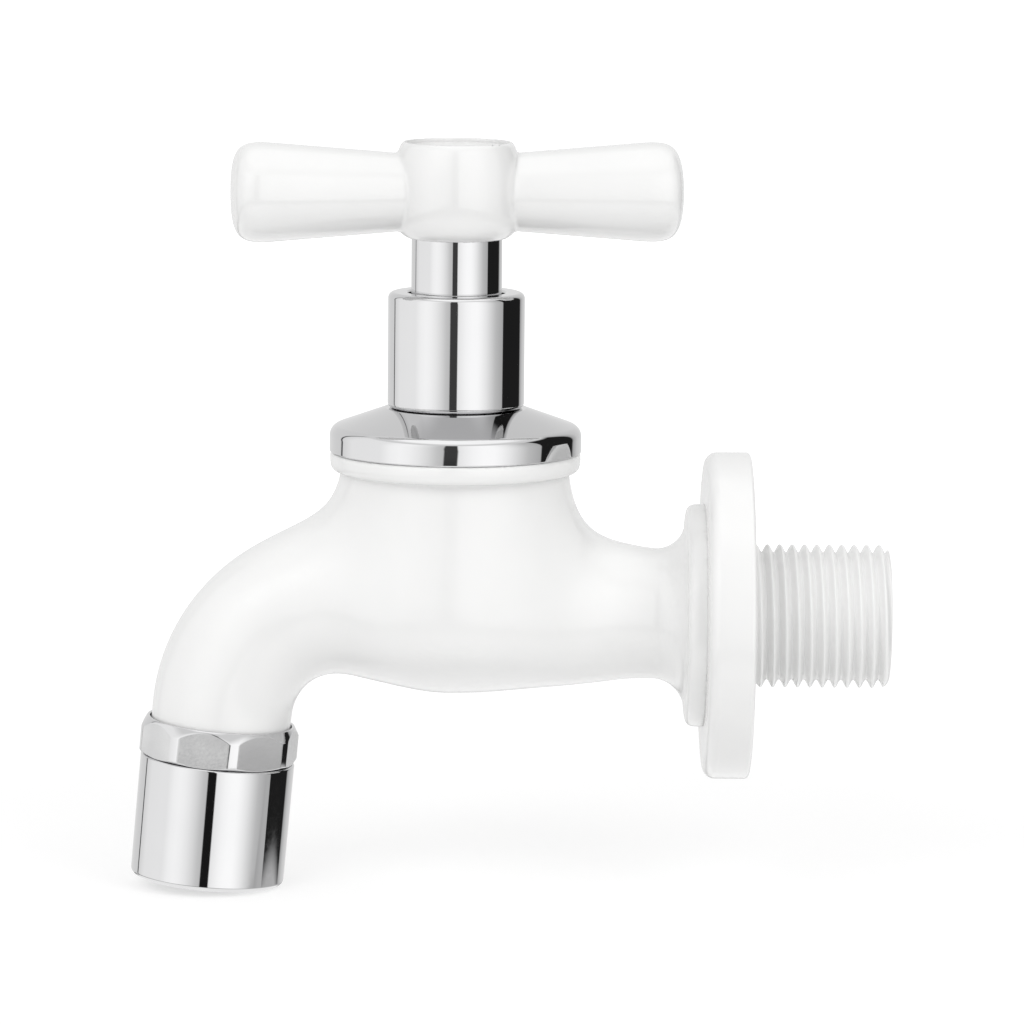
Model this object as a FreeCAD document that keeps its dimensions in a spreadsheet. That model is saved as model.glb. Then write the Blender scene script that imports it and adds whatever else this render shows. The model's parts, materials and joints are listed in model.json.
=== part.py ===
import FreeCAD, Part
import math
import os

import Sketcher

# Bib tap with a T-handle, a chromed bonnet and an aerated spout, in millimetres.
# The origin is the centre of the wall face of the flange, on the axis of the inlet.
# +X points into the wall, -X towards the spout, and +Z up.
# Heights named "height" are above the inlet axis. The tap stands closed.

SIZES = {
    # Inlet shank and its male pipe thread
    "thread_radius": 10.4775,
    "thread_pitch": 1.814,
    "thread_depth": 1.162,
    "thread_flank_angle": 27.5,
    "thread_end_chamfer": 1.2,
    "thread_runout": 1.6,
    "shank_length": 20.4,
    "inlet_bore_radius": 6.5,
    "inlet_bore_depth": 33.0,
    "feed_bore_radius": 5.4,
    "feed_bore_overrun": 3.0,
    # Wall flange, a loose dished disc round the shank
    "flange_radius": 23.9,
    "flange_thickness": 6.65,
    "flange_front_round": 1.3,
    "flange_back_round": 0.4,
    "flange_rim_width": 2.6,
    "flange_boss_wall": 2.8,
    "flange_dish_depth": 3.6,
    "flange_bore_gap": 0.12,
    # Body: collar and flare behind the flange, level neck tube
    "collar_ledge": 2.0,
    "collar_thickness": 2.7,
    "collar_round": 1.2,
    "flare_radius": 4.8,
    "neck_tube_radius": 9.5,
    "neck_taper": 1.9,
    "neck_blend_radius": 12.0,
    # Body: upright cup that holds the valve
    "stem_reach": 43.1,
    "cup_radius": 16.4,
    "cup_top_height": 24.0,
    "cup_bottom_height": -11.4,
    "belly_swell": 1.4,
    "belly_round": 10.5,
    "belly_bottom_radius": 30.0,
    "lip_overhang": 1.9,
    "lip_thickness": 2.8,
    "lip_round": 1.2,
    "chamber_radius": 10.0,
    "bonnet_thread_radius": 11.0,
    "bonnet_thread_length": 9.0,
    "seat_height": 9.0,
    "seat_bore_radius": 5.0,
    "seat_crown_width": 1.3,
    "seat_crown_height": 1.2,
    # Body: spout
    "spout_radius": 10.05,
    "spout_height": 3.49,
    "spout_reach": 14.49,
    "spout_bend_radius": 19.5,
    "spout_tilt": 5.0,
    "spout_end_straight": 1.72,
    "spout_blend_radius": 9.0,
    "spout_bore_radius": 7.0,
    "spout_bore_start": 7.5,
    "drop_bore_radius": 4.5,
    "drop_bore_reach": 12.3,
    "drop_bore_top_height": 14.0,
    "spigot_radius": 9.2,
    "spigot_length": 8.4,
    "spout_entry": 1.6,
    # Clearances: screwed or pushed fits, and shafts that turn or slide
    "screw_gap": 0.05,
    "shaft_gap": 0.06,
    "face_gap": 0.05,
    "bolt_gap": 0.15,
    # Bonnet cover disc
    "disc_overhang": 0.2,
    "disc_rim_height": 2.5,
    "disc_shoulder_width": 1.4,
    "disc_shoulder_height": 1.7,
    "disc_cone_radius": 12.6,
    "disc_cone_height": 6.2,
    "disc_height": 7.1,
    "disc_land_radius": 10.3,
    "disc_wall": 1.2,
    # Bonnet sleeve, screwed over the headwork onto the disc
    "sleeve_radius": 9.95,
    "sleeve_bore_radius": 8.3,
    "sleeve_length": 16.0,
    "sleeve_top_thickness": 1.5,
    "sleeve_top_round": 0.9,
    # Headwork, the screwed insert that guides the spindle
    "gasket_thickness": 1.0,
    "headwork_hexagon": 26.0,
    "headwork_hexagon_thickness": 2.2,
    "hexagon_corner_trim": 0.35,
    "bonnet_thread_relief": 0.5,
    "headwork_hollow_radius": 8.2,
    "jumper_headroom": 1.45,
    "stop_gap": 0.2,
    "stop_web_thickness": 1.5,
    "gland_radius": 6.5,
    "packing_washer_thickness": 0.8,
    "packing_thickness": 2.7,
    "gland_thread_length": 4.5,
    "gland_nut_hexagon": 13.0,
    "gland_nut_head_thickness": 3.5,
    # Spindle, and how far it lifts from closed to open
    "valve_lift": 4.0,
    "spindle_thread_radius": 5.45,
    "spindle_radius": 4.0,
    "spindle_thread_length": 8.7,
    "spindle_square": 5.6,
    "spindle_square_length": 5.3,
    "spindle_shoulder_height": 57.5,
    "spindle_socket_depth": 7.0,
    "spindle_screw_hole_depth": 10.0,
    # Jumper valve, its washer and nut
    "jumper_radius": 6.9,
    "jumper_thickness": 1.5,
    "jumper_stem_radius": 2.0,
    "jumper_stem_length": 6.0,
    "jumper_stud_radius": 1.5,
    "seat_washer_radius": 6.6,
    "seat_washer_thickness": 3.0,
    "washer_nut_across_flats": 5.5,
    "washer_nut_thickness": 2.0,
    # Handle
    "skirt_seat_depth": 3.0,
    "hub_bottom_radius": 8.0,
    "hub_radius": 8.76,
    "hub_rim_radius": 8.1,
    "hub_edge_round": 0.7,
    "handle_axis_rise": 7.3,
    "arm_half_length": 32.85,
    "arm_middle_radius": 5.15,
    "arm_end_radius": 7.4,
    "arm_dome": 0.6,
    "arm_end_round": 2.6,
    "arm_blend_radius": 1.0,
    "arm_turn": 5.5,
    "handle_web_thickness": 2.4,
    "cap_recess_radius": 7.6,
    "cap_recess_depth": 2.0,
    "screw_well_radius": 6.0,
    # Handle skirt tube
    "skirt_radius": 6.67,
    "skirt_wall": 1.0,
    "skirt_gland_gap": 2.0,
    "skirt_clearance": 0.33,
    # Handle screw, its washer and the index cap
    "screw_radius": 2.0,
    "screw_length": 10.0,
    "screw_head_radius": 3.4,
    "screw_head_thickness": 1.3,
    "screw_slot_width": 1.0,
    "screw_slot_depth": 0.8,
    "screw_washer_thickness": 0.5,
    "screw_headroom": 0.3,
    "cap_thickness": 1.3,
    "cap_dish_depth": 0.5,
    "cap_plug_wall": 0.9,
    "cap_plug_length": 0.9,
    # Nozzle nut and shell
    "nozzle_nut_wall": 0.6,
    "nozzle_nut_length": 5.6,
    "nozzle_corner_rise": 0.65,
    "nozzle_corner_chamfer": 0.6,
    "nozzle_turn": 12.5,
    "nozzle_mouth_gap": 0.35,
    "shell_radius": 11.3,
    "shell_length": 17.95,
    "shell_bottom_round": 1.2,
    "shell_top_round": 0.3,
    "shell_lip_thickness": 1.25,
    "shell_lip_width": 0.65,
    # Aerator parts in the nozzle shell
    "nozzle_washer_thickness": 2.0,
    "nozzle_washer_bore": 6.5,
    "cage_rim_thickness": 1.2,
    "cage_gap": 0.4,
    "cage_wall": 1.15,
    "cage_ledge_width": 0.7,
    "cage_ledge_thickness": 0.8,
    "grid_thickness": 2.5,
    "screen_thickness": 0.5,
    "spacer_thickness": 2.0,
    "spacer_wall": 1.0,
    "flow_disc_thickness": 1.4,
    "grid_hole_radius": 0.75,
    "grid_ring_spacing": 1.9,
    "screen_hole_radius": 0.45,
    "screen_ring_spacing": 1.48,
    "flow_hole_radius": 0.6,
    "flow_ring_spacing": 2.66,
}

# Holes on the first ring of a drilled disc, and how many more each ring has than the last
HOLES_PER_RING = 6

# How far a cutting tool starts outside the piece that it cuts
PAST = 1.0
# Flat at the root of the thread's groove, as a share of the pitch
ROOT_FLAT_SHARE = 1 / 6

doc = FreeCAD.newDocument("BibTap")
sheet = doc.addObject("Spreadsheet::Sheet", "Sizes")


class Size:
    """A number together with the spreadsheet formula that gives it."""

    def __init__(self, value, formula):
        self.value = value
        self.formula = formula

    def joined(self, other, sign, value):
        return Size(value, f"({self.formula} {sign} {as_size(other).formula})")

    def __add__(self, other):
        return self.joined(other, "+", self.value + as_size(other).value)

    def __sub__(self, other):
        return self.joined(other, "-", self.value - as_size(other).value)

    def __mul__(self, other):
        return self.joined(other, "*", self.value * as_size(other).value)

    def __truediv__(self, other):
        return self.joined(other, "/", self.value / as_size(other).value)

    def __neg__(self):
        return Size(-self.value, f"(-1 * {self.formula})")


def as_size(number):
    if isinstance(number, Size):
        return number
    return Size(float(number), f"{number:.6f}")


def sine(angle):
    return Size(math.sin(math.radians(angle.value)), f"sin({angle.formula} * 1 deg)")


def cosine(angle):
    return Size(math.cos(math.radians(angle.value)), f"cos({angle.formula} * 1 deg)")


def tangent(angle):
    return Size(math.tan(math.radians(angle.value)), f"tan({angle.formula} * 1 deg)")


def square_root(number):
    return Size(math.sqrt(number.value), f"sqrt({number.formula})")


class Sheet:
    """The driving dimensions: sheet.name is the Size of that cell."""

    def __init__(self, sizes):
        for row, (alias, number) in enumerate(sizes.items(), start=1):
            sheet.set(f"A{row}", alias)
            sheet.set(f"B{row}", str(number))
            sheet.setAlias(f"B{row}", alias)
            setattr(self, alias, Size(float(number), f"Sizes.{alias}"))


size = Sheet(SIZES)
doc.recompute()


# Heights and lengths that follow from the driving dimensions

collar_front = size.flange_thickness + size.collar_thickness
flare_start = size.neck_tube_radius + size.flare_radius
collar_radius = flare_start + size.collar_ledge
neck_root_radius = size.neck_tube_radius + size.neck_taper
shank_end = -size.shank_length
lip_radius = size.cup_radius + size.lip_overhang
belly_radius = size.cup_radius + size.belly_swell

washer_bottom = size.seat_height + size.face_gap
jumper_bottom = washer_bottom + size.seat_washer_thickness
jumper_top = jumper_bottom + size.jumper_thickness
spindle_bottom = jumper_top + size.face_gap
spindle_thread_top = spindle_bottom + size.spindle_thread_length
shaft_bore = size.spindle_radius + size.shaft_gap

thread_shoulder = size.cup_top_height - size.bonnet_thread_length
headwork_bottom = thread_shoulder + size.bonnet_thread_relief
headwork_seat = size.cup_top_height + size.gasket_thickness
headwork_shoulder = headwork_seat + size.headwork_hexagon_thickness
headwork_tube_radius = size.sleeve_bore_radius - size.screw_gap
headwork_hollow_top = jumper_top + size.valve_lift + size.jumper_headroom
stop_bottom = spindle_thread_top + size.valve_lift + size.stop_gap
gland_floor = stop_bottom + size.stop_web_thickness
packing_bottom = gland_floor + size.packing_washer_thickness
packing_top = packing_bottom + size.packing_thickness
headwork_top = packing_top + size.gland_thread_length
gland_nut_top = headwork_top + size.gland_nut_head_thickness
disc_radius = lip_radius + size.disc_overhang
sleeve_bottom = size.cup_top_height + size.disc_height
sleeve_top = sleeve_bottom + size.sleeve_length
sleeve_hole_radius = size.skirt_radius + size.skirt_clearance

spindle_shoulder = size.spindle_shoulder_height
spindle_top = spindle_shoulder + size.spindle_square_length
web_top = spindle_top + size.handle_web_thickness
screw_seat = web_top + size.screw_washer_thickness
screw_top = screw_seat + size.screw_head_thickness
cap_seat = screw_top + size.screw_headroom
cap_top = cap_seat + size.cap_thickness
hub_top = cap_seat + size.cap_recess_depth
hub_bottom = spindle_shoulder - size.skirt_seat_depth
handle_axis = hub_bottom + size.handle_axis_rise
skirt_bottom = gland_nut_top + size.skirt_gland_gap

spigot_bore = size.spigot_radius + size.screw_gap
spigot_end = -(size.spout_entry + size.spigot_length)
nozzle_mouth_radius = size.spout_radius + size.nozzle_mouth_gap
nozzle_across_flats = (nozzle_mouth_radius + size.nozzle_nut_wall) * 2
nozzle_corner_radius = nozzle_across_flats / 2 + size.nozzle_corner_rise
cage_radius = spigot_bore - size.cage_gap
cage_bore_radius = cage_radius - size.cage_wall
stack_radius = cage_bore_radius - size.screw_gap
cage_top = spigot_end - size.nozzle_washer_thickness
nut_end = -size.nozzle_nut_length
shell_end = nut_end - size.shell_length
cage_bottom = shell_end + size.shell_lip_thickness
grid_bottom = cage_bottom + size.cage_ledge_thickness
grid_top = grid_bottom + size.grid_thickness
lower_screen_top = grid_top + size.screen_thickness
spacer_top = lower_screen_top + size.spacer_thickness
upper_screen_top = spacer_top + size.screen_thickness
flow_disc_top = upper_screen_top + size.flow_disc_thickness

bend_x = -(size.stem_reach + size.spout_reach)
bend_z = size.spout_height - size.spout_bend_radius
bend_end_x = bend_x - size.spout_bend_radius * cosine(size.spout_tilt)
bend_end_z = bend_z + size.spout_bend_radius * sine(size.spout_tilt)
nozzle_x = bend_end_x - size.spout_end_straight * sine(size.spout_tilt)
nozzle_z = bend_end_z - size.spout_end_straight * cosine(size.spout_tilt)


# Placing

def bind(thing, path, number):
    thing.setExpression(path, as_size(number).formula)


def place(thing, x, z, tilt=0, spin=0, turn=0):
    """Put a piece in the middle plane, spun about its own Z axis, tilted about Y and then
    turned about the upright."""
    upright = FreeCAD.Vector(0, 0, 1)
    turning = FreeCAD.Rotation(upright, as_size(turn).value)
    tilting = FreeCAD.Rotation(FreeCAD.Vector(0, 1, 0), as_size(tilt).value)
    spinning = FreeCAD.Rotation(upright, as_size(spin).value)
    start = FreeCAD.Vector(as_size(x).value, 0, as_size(z).value)
    thing.Placement = FreeCAD.Placement(start, turning.multiply(tilting).multiply(spinning))
    bind(thing, "Placement.Base.x", x)
    bind(thing, "Placement.Base.z", z)
    return thing


def on_stem(thing, lift=0, spin=0):
    """Own Z axis on the stem's axis, raised by lift above the inlet's axis."""
    return place(thing, -size.stem_reach, lift, 0, spin)


def on_drop(thing):
    """Own Z axis on the axis of the bore that drops from the chamber into the spout."""
    return place(thing, -size.stem_reach - size.drop_bore_reach, 0)


def on_inlet(thing):
    """Own Z axis along the inlet's axis, pointing away from the wall."""
    return place(thing, 0, 0, -90)


def on_arms(thing):
    """Own Z axis along the handle's arms, own origin in the hub."""
    return place(thing, -size.stem_reach, handle_axis, 90, 0, size.arm_turn)


def on_nozzle(thing, lift=0, spin=0):
    """Own Z axis up the nozzle's axis, own origin at its mouth, raised by lift along it."""
    x = nozzle_x + as_size(lift) * sine(size.spout_tilt)
    z = nozzle_z + as_size(lift) * cosine(size.spout_tilt)
    return place(thing, x, z, size.spout_tilt, spin)


# Sketches

def fix(sketch, kind, points, number, name):
    """Fix one dimension of a sketch by a formula."""
    rule = sketch.addConstraint(Sketcher.Constraint(kind, *points, number.value))
    sketch.renameConstraint(rule, name)
    bind(sketch, f"Constraints.{name}", number)


class Outline:
    """An outline whose corners and arc radii are spreadsheet formulas."""

    def __init__(self, x, y):
        self.corners = [(as_size(x), as_size(y))]
        self.bends = []

    def line(self, x, y):
        self.corners.append((as_size(x), as_size(y)))
        self.bends.append(None)
        return self

    def arc(self, x, y, radius, side):
        """Arc to x, y. Its centre is left of the way there for side 1, right for -1."""
        self.corners.append((as_size(x), as_size(y)))
        self.bends.append((as_size(radius), side))
        return self

    def edge(self, index):
        first = self.corners[index]
        last = self.corners[(index + 1) % len(self.corners)]
        start = FreeCAD.Vector(first[0].value, first[1].value, 0)
        end = FreeCAD.Vector(last[0].value, last[1].value, 0)
        if self.bends[index] is None:
            return Part.LineSegment(start, end)
        radius, side = self.bends[index]
        chord = end - start
        left = FreeCAD.Vector(-chord.y, chord.x, 0).normalize()
        rise = math.sqrt(max(radius.value**2 - chord.Length**2 / 4, 0))
        bulge = start + chord / 2 + left * side * (rise - radius.value)
        return Part.Arc(start, bulge, end)

    def draw(self, sketch, closed=True):
        """Draw the outline and fix each of its corners and radii by a formula."""
        if closed:
            self.bends.append(None)
        ends = []
        for index, bend in enumerate(self.bends):
            sketch.addGeometry(self.edge(index), False)
            clockwise = bend is not None and bend[1] < 0
            ends.append((2, 1) if clockwise else (1, 2))
        for index in range(len(self.bends) if closed else len(self.bends) - 1):
            following = (index + 1) % len(self.bends)
            joint = (index, ends[index][1], following, ends[following][0])
            sketch.addConstraint(Sketcher.Constraint("Coincident", *joint))
        for index, (x, y) in enumerate(self.corners):
            last = index == len(self.bends)
            point = (index - 1, ends[index - 1][1]) if last else (index, ends[index][0])
            for kind, number, axis in (("DistanceX", x, -2), ("DistanceY", y, -1)):
                if abs(number.value) < 1e-9:
                    sketch.addConstraint(Sketcher.Constraint("PointOnObject", *point, axis))
                else:
                    name = f"corner{index}{kind[-1]}"
                    fix(sketch, kind, (-1, 1, *point), number, name)
        for index, bend in enumerate(self.bends):
            if bend is not None:
                fix(sketch, "Radius", (index,), bend[0], f"arc{index}")


def dome_radius(half_width, rise):
    """Radius of the arc that rises by rise over half_width from its top."""
    return (half_width * half_width + rise * rise) / (rise * 2)


def new_body(name):
    body = doc.addObject("PartDesign::Body", name)
    body.Label = name
    return body


def new_sketch(body, role, name):
    plane = next(part for part in body.Origin.OriginFeatures if part.Role == role)
    sketch = body.newObject("Sketcher::SketchObject", name)
    sketch.AttachmentSupport = [(plane, "")]
    sketch.MapMode = "FlatFace"
    return sketch


def turned(name, outline, put):
    """Turn an outline, given as radii and heights, about the piece's own Z axis."""
    body = new_body(name)
    sketch = new_sketch(body, "XZ_Plane", name + "_outline")
    outline.draw(sketch)
    turn = body.newObject("PartDesign::Revolution", name + "_turn")
    turn.Profile = sketch
    turn.ReferenceAxis = (sketch, ["V_Axis"])
    turn.Angle = 360
    put(body)
    doc.recompute()
    return body


def ring(name, outer, inner, bottom, top, put):
    """A plain turned ring, or a disc where the inner radius is 0."""
    outline = Outline(inner, bottom).line(outer, bottom).line(outer, top).line(inner, top)
    return turned(name, outline, put)


def piped(name, path, radius, start_x, start_z, put):
    """Sweep a circle along a path in the middle plane, from its level start."""
    body = new_body(name)
    spine = new_sketch(body, "XZ_Plane", name + "_path")
    path.draw(spine, closed=False)
    section = new_sketch(body, "YZ_Plane", name + "_section")
    start = Part.Circle(FreeCAD.Vector(0, start_z.value, 0), FreeCAD.Vector(0, 0, 1), radius.value)
    section.addGeometry(start, False)
    section.addConstraint(Sketcher.Constraint("PointOnObject", 0, 3, -2))
    fix(section, "DistanceY", (-1, 1, 0, 3), start_z, "height")
    fix(section, "Radius", (0,), radius, "radius")
    section.AttachmentOffset = FreeCAD.Placement(
        FreeCAD.Vector(0, 0, start_x.value), FreeCAD.Rotation())
    bind(section, "AttachmentOffset.Base.z", start_x)
    pipe = body.newObject("PartDesign::AdditivePipe", name + "_pipe")
    pipe.Profile = section
    pipe.Spine = (spine, [])
    put(body)
    doc.recompute()
    return body


def round_edges(body, radius, circles, name="round"):
    """Round the turned piece's circular edges at the given radii and heights."""
    last = body.Tip
    edges = []
    for number, edge in enumerate(last.Shape.Edges, start=1):
        if edge.Length < 0.01 or not isinstance(edge.Curve, Part.Circle):
            continue
        for at_radius, height in circles:
            near_radius = abs(edge.Curve.Radius - as_size(at_radius).value) < 1e-4
            near_height = abs(edge.Curve.Center.z - as_size(height).value) < 1e-4
            if near_radius and near_height:
                edges.append(f"Edge{number}")
    if len(edges) != len(circles):
        raise ValueError(f"{body.Name}: {len(edges)} of {len(circles)} edges found")
    rounding = body.newObject("PartDesign::Fillet", f"{body.Name}_{name}")
    rounding.Base = (last, edges)
    rounding.Radius = as_size(radius).value
    bind(rounding, "Radius", radius)
    doc.recompute()
    return body


def drill_rings(body, hole_radius, spacing, outer_radius):
    """Drill a centre hole and as many rings of holes as fit, half a space from the edge."""
    rings = round((outer_radius / spacing).value - 0.5)
    for number in range(rings + 1):
        name = f"{body.Name}_holes{number}"
        sketch = new_sketch(body, "XY_Plane", name + "_place")
        away = spacing * number
        centre = FreeCAD.Vector(away.value, 0, 0)
        sketch.addGeometry(Part.Circle(centre, FreeCAD.Vector(0, 0, 1), hole_radius.value), False)
        sketch.addConstraint(Sketcher.Constraint("PointOnObject", 0, 3, -1))
        if number == 0:
            sketch.addConstraint(Sketcher.Constraint("PointOnObject", 0, 3, -2))
        else:
            fix(sketch, "DistanceX", (-1, 1, 0, 3), away, "away")
        fix(sketch, "Radius", (0,), hole_radius, "radius")
        hole = body.newObject("PartDesign::Pocket", name)
        hole.Profile = sketch
        hole.Type = "ThroughAll"
        hole.Midplane = True
        doc.recompute()
        if number > 0:
            pattern = body.newObject("PartDesign::PolarPattern", name + "_ring")
            pattern.Originals = [hole]
            pattern.Axis = (sketch, ["N_Axis"])
            pattern.Angle = 360
            pattern.Occurrences = HOLES_PER_RING * number
            body.Tip = pattern
            doc.recompute()
    return body


# Joining

def fuse(name, pieces):
    joined = doc.addObject("Part::MultiFuse", name)
    joined.Shapes = pieces
    joined.Refine = True
    doc.recompute()
    return joined


def cut(name, base, tool):
    result = doc.addObject("Part::Cut", name)
    result.Base = base
    result.Tool = tool
    doc.recompute()
    if result.Shape.Volume >= base.Shape.Volume - 1e-3:
        raise ValueError(f"{name} cuts nothing")
    return result


def corner_radius(sides, across_flats):
    """Radius over the corners of a regular prism."""
    return across_flats / 2 / cosine(as_size(180 / sides))


def faceted(name, blank, sides, across_flats, bottom, top, put, spin=0):
    """Mill flats round a turned blank, from one height to the other."""
    prism = doc.addObject("Part::Prism", name + "_flats")
    prism.Polygon = sides
    bind(prism, "Circumradius", corner_radius(sides, across_flats))
    bind(prism, "Height", top - bottom)
    put(prism, bottom, spin)
    result = doc.addObject("Part::Common", name)
    result.Base = blank
    result.Tool = prism
    doc.recompute()
    return result


def block(name, across, wide, bottom, top):
    """A box centred on the stem's axis."""
    box = doc.addObject("Part::Box", name)
    bind(box, "Length", across)
    bind(box, "Width", wide)
    bind(box, "Height", top - bottom)
    place(box, -size.stem_reach - across / 2, bottom)
    bind(box, "Placement.Base.y", wide / -2)
    return box


def blend(name, base, radius, pairs):
    """Round the edges of a fused piece where the surfaces of two of its parts meet."""
    edges = []
    for number, edge in enumerate(base.Shape.Edges, start=1):
        if edge.Length < 0.01:
            continue
        middle = Part.Vertex(edge.valueAt((edge.FirstParameter + edge.LastParameter) / 2))
        for one, other in pairs:
            gaps = [part.Shape.Shells[0].distToShape(middle)[0] for part in (one, other)]
            if max(gaps) < 1e-4:
                edges.append((number, radius.value, radius.value))
                break
    rounding = doc.addObject("Part::Fillet", name)
    rounding.Base = base
    rounding.Edges = edges
    doc.recompute()
    return rounding


# Tap body

def spout_path(below_mouth, level_start):
    """Level run, bend and straight end of the spout, seen from the stem."""
    bend_start = -size.spout_reach
    away = size.stem_reach
    end_x = nozzle_x + away - below_mouth * sine(size.spout_tilt)
    end_z = nozzle_z - below_mouth * cosine(size.spout_tilt)
    path = Outline(level_start, size.spout_height).line(bend_start, size.spout_height)
    path.arc(bend_end_x + away, bend_end_z, size.spout_bend_radius, 1)
    return path.line(end_x, end_z)


def pipe_thread(shank):
    """Cut the helical groove of the pipe thread up to the end of the shank."""
    rise = size.thread_depth + size.thread_end_chamfer
    half_root = size.thread_pitch * ROOT_FLAT_SHARE / 2
    half_mouth = half_root + rise * tangent(size.thread_flank_angle)
    root_radius = size.thread_radius - size.thread_depth
    mouth_radius = size.thread_radius + size.thread_end_chamfer
    start = shank_end - size.thread_pitch
    groove = Outline(root_radius, start - half_root).line(mouth_radius, start - half_mouth)
    groove.line(mouth_radius, start + half_mouth).line(root_radius, start + half_root)
    sketch = new_sketch(shank, "XZ_Plane", "thread_groove")
    groove.draw(sketch)
    doc.recompute()
    before = shank.Shape.Volume
    helix = shank.newObject("PartDesign::SubtractiveHelix", "thread_helix")
    helix.Profile = sketch
    helix.ReferenceAxis = (sketch, ["V_Axis"])
    helix.Mode = "pitch-height-angle"
    bind(helix, "Pitch", size.thread_pitch)
    bind(helix, "Height", size.shank_length + size.thread_pitch - size.thread_runout)
    doc.recompute()
    if shank.Shape.Volume >= before - 1:
        raise ValueError("the pipe thread cuts nothing")
    return shank


def make_cup():
    """The upright cup, wider towards its belly, with a round edge and a domed bottom."""
    bottom, dome, corner = size.cup_bottom_height, size.belly_bottom_radius, size.belly_round
    across, apart = belly_radius - corner, dome - corner
    down = square_root(apart * apart - across * across)
    dome_centre = bottom + dome
    outline = Outline(0, bottom)
    outline.arc(across * dome / apart, dome_centre - down * dome / apart, dome, 1)
    outline.arc(belly_radius, dome_centre - down, corner, 1)
    outline.line(size.cup_radius, size.cup_top_height).line(0, size.cup_top_height)
    return turned("valve_cup", outline, on_stem)


def make_shank():
    """Inlet tube with its flare, its collar in front of the flange, and the pipe thread."""
    chamfer = size.thread_end_chamfer
    outline = Outline(0, shank_end).line(size.thread_radius - chamfer, shank_end)
    outline.line(size.thread_radius, shank_end + chamfer / 2)
    outline.line(size.thread_radius, size.flange_thickness)
    outline.line(collar_radius, size.flange_thickness)
    outline.line(collar_radius, collar_front).line(flare_start, collar_front)
    outline.arc(size.neck_tube_radius, collar_front + size.flare_radius, size.flare_radius, -1)
    outline.line(neck_root_radius, size.stem_reach).line(0, size.stem_reach)
    shank = turned("inlet_tube", outline, on_inlet)
    round_edges(shank, size.collar_round, [(collar_radius, collar_front)])
    return pipe_thread(shank)


def make_waterway():
    """What is bored out of the body: inlet, seat, valve chamber and spout."""
    inlet_depth = shank_end + size.inlet_bore_depth
    inlet = ring("inlet_bore", size.inlet_bore_radius, 0, shank_end - PAST, inlet_depth, on_inlet)
    feed_end = size.stem_reach + size.feed_bore_overrun
    feed = ring("feed_bore", size.feed_bore_radius, 0, inlet_depth - PAST, feed_end, on_inlet)
    seat = ring("seat_bore", size.seat_bore_radius, 0, 0, size.seat_height + PAST, on_stem)

    crown = size.seat_bore_radius + size.seat_crown_width
    thread_bore = size.bonnet_thread_radius + size.screw_gap
    floor = size.seat_height - size.seat_crown_height
    outline = Outline(0, size.seat_height).line(crown, size.seat_height)
    outline.line(crown, floor).line(size.chamber_radius, floor)
    outline.line(size.chamber_radius, thread_shoulder).line(thread_bore, thread_shoulder)
    outline.line(thread_bore, size.cup_top_height + PAST).line(0, size.cup_top_height + PAST)
    chamber = turned("valve_chamber", outline, on_stem)

    drop = ring("drop_bore", size.drop_bore_radius, 0, size.spout_height,
                size.drop_bore_top_height, on_drop)
    start = -size.spout_bore_start
    path = spout_path(size.spout_entry + size.spigot_length + PAST, start)
    spout = piped("spout_bore", path, size.spout_bore_radius, start, size.spout_height, on_stem)
    return fuse("waterway", [inlet, feed, seat, chamber, drop, spout])


def make_tap_body():
    cup = make_cup()
    shank = make_shank()
    mouth = size.spout_entry - size.face_gap
    start = -size.spout_bore_start
    spout = piped("spout_tube", spout_path(mouth, start), size.spout_radius, start,
                  size.spout_height, on_stem)
    joined = fuse("body_joined", [cup, shank, spout])
    blended = blend("neck_blended", joined, size.neck_blend_radius, [(cup, shank)])
    blended = blend("body_blended", blended, size.spout_blend_radius, [(cup, spout)])

    lip_foot = size.cup_top_height - size.lip_thickness
    lip = ring("body_lip", lip_radius, size.cup_radius - size.lip_round, lip_foot,
               size.cup_top_height, on_stem)
    round_edges(lip, size.lip_round, [(lip_radius, lip_foot)])
    spigot = ring("spigot", size.spigot_radius, 0, spigot_end, -mouth, on_nozzle)
    outside = fuse("body_outside", [blended, lip, spigot])
    return cut("tap_body", outside, make_waterway())


# Wall flange

def make_wall_flange():
    bore = size.thread_radius + size.flange_bore_gap
    boss = bore + size.flange_boss_wall
    rim = size.flange_radius - size.flange_rim_width
    dish = size.flange_dish_depth
    outline = Outline(bore, 0).line(boss, 0).line(boss, dish).line(rim, dish).line(rim, 0)
    outline.line(size.flange_radius, 0).line(size.flange_radius, size.flange_thickness)
    outline.line(bore, size.flange_thickness)
    flange = turned("wall_flange", outline, on_inlet)
    round_edges(flange, size.flange_front_round, [(size.flange_radius, size.flange_thickness)])
    return round_edges(flange, size.flange_back_round, [(size.flange_radius, 0)], "back_round")


# Bonnet: headwork, gland, cover disc and sleeve

def make_headwork():
    tube, hollow = headwork_tube_radius, size.headwork_hollow_radius
    thread = size.spindle_thread_radius + size.screw_gap
    shaft = shaft_bore + size.shaft_gap
    gland = size.gland_radius + size.screw_gap
    outline = Outline(hollow, headwork_bottom).line(size.bonnet_thread_radius, headwork_bottom)
    outline.line(size.bonnet_thread_radius, headwork_shoulder).line(tube, headwork_shoulder)
    outline.line(tube, headwork_top).line(gland, headwork_top)
    outline.line(gland, gland_floor).line(shaft, gland_floor)
    outline.line(shaft, stop_bottom).line(thread, stop_bottom)
    outline.line(thread, headwork_hollow_top).line(hollow, headwork_hollow_top)
    barrel = turned("headwork_barrel", outline, on_stem)
    corner = corner_radius(6, size.headwork_hexagon) - size.hexagon_corner_trim
    blank = ring("headwork_blank", corner, tube, headwork_seat, headwork_shoulder, on_stem)
    hexagon = faceted("headwork_hexagon", blank, 6, size.headwork_hexagon, headwork_seat,
                      headwork_shoulder, on_stem)
    return fuse("headwork", [barrel, hexagon])


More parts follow.
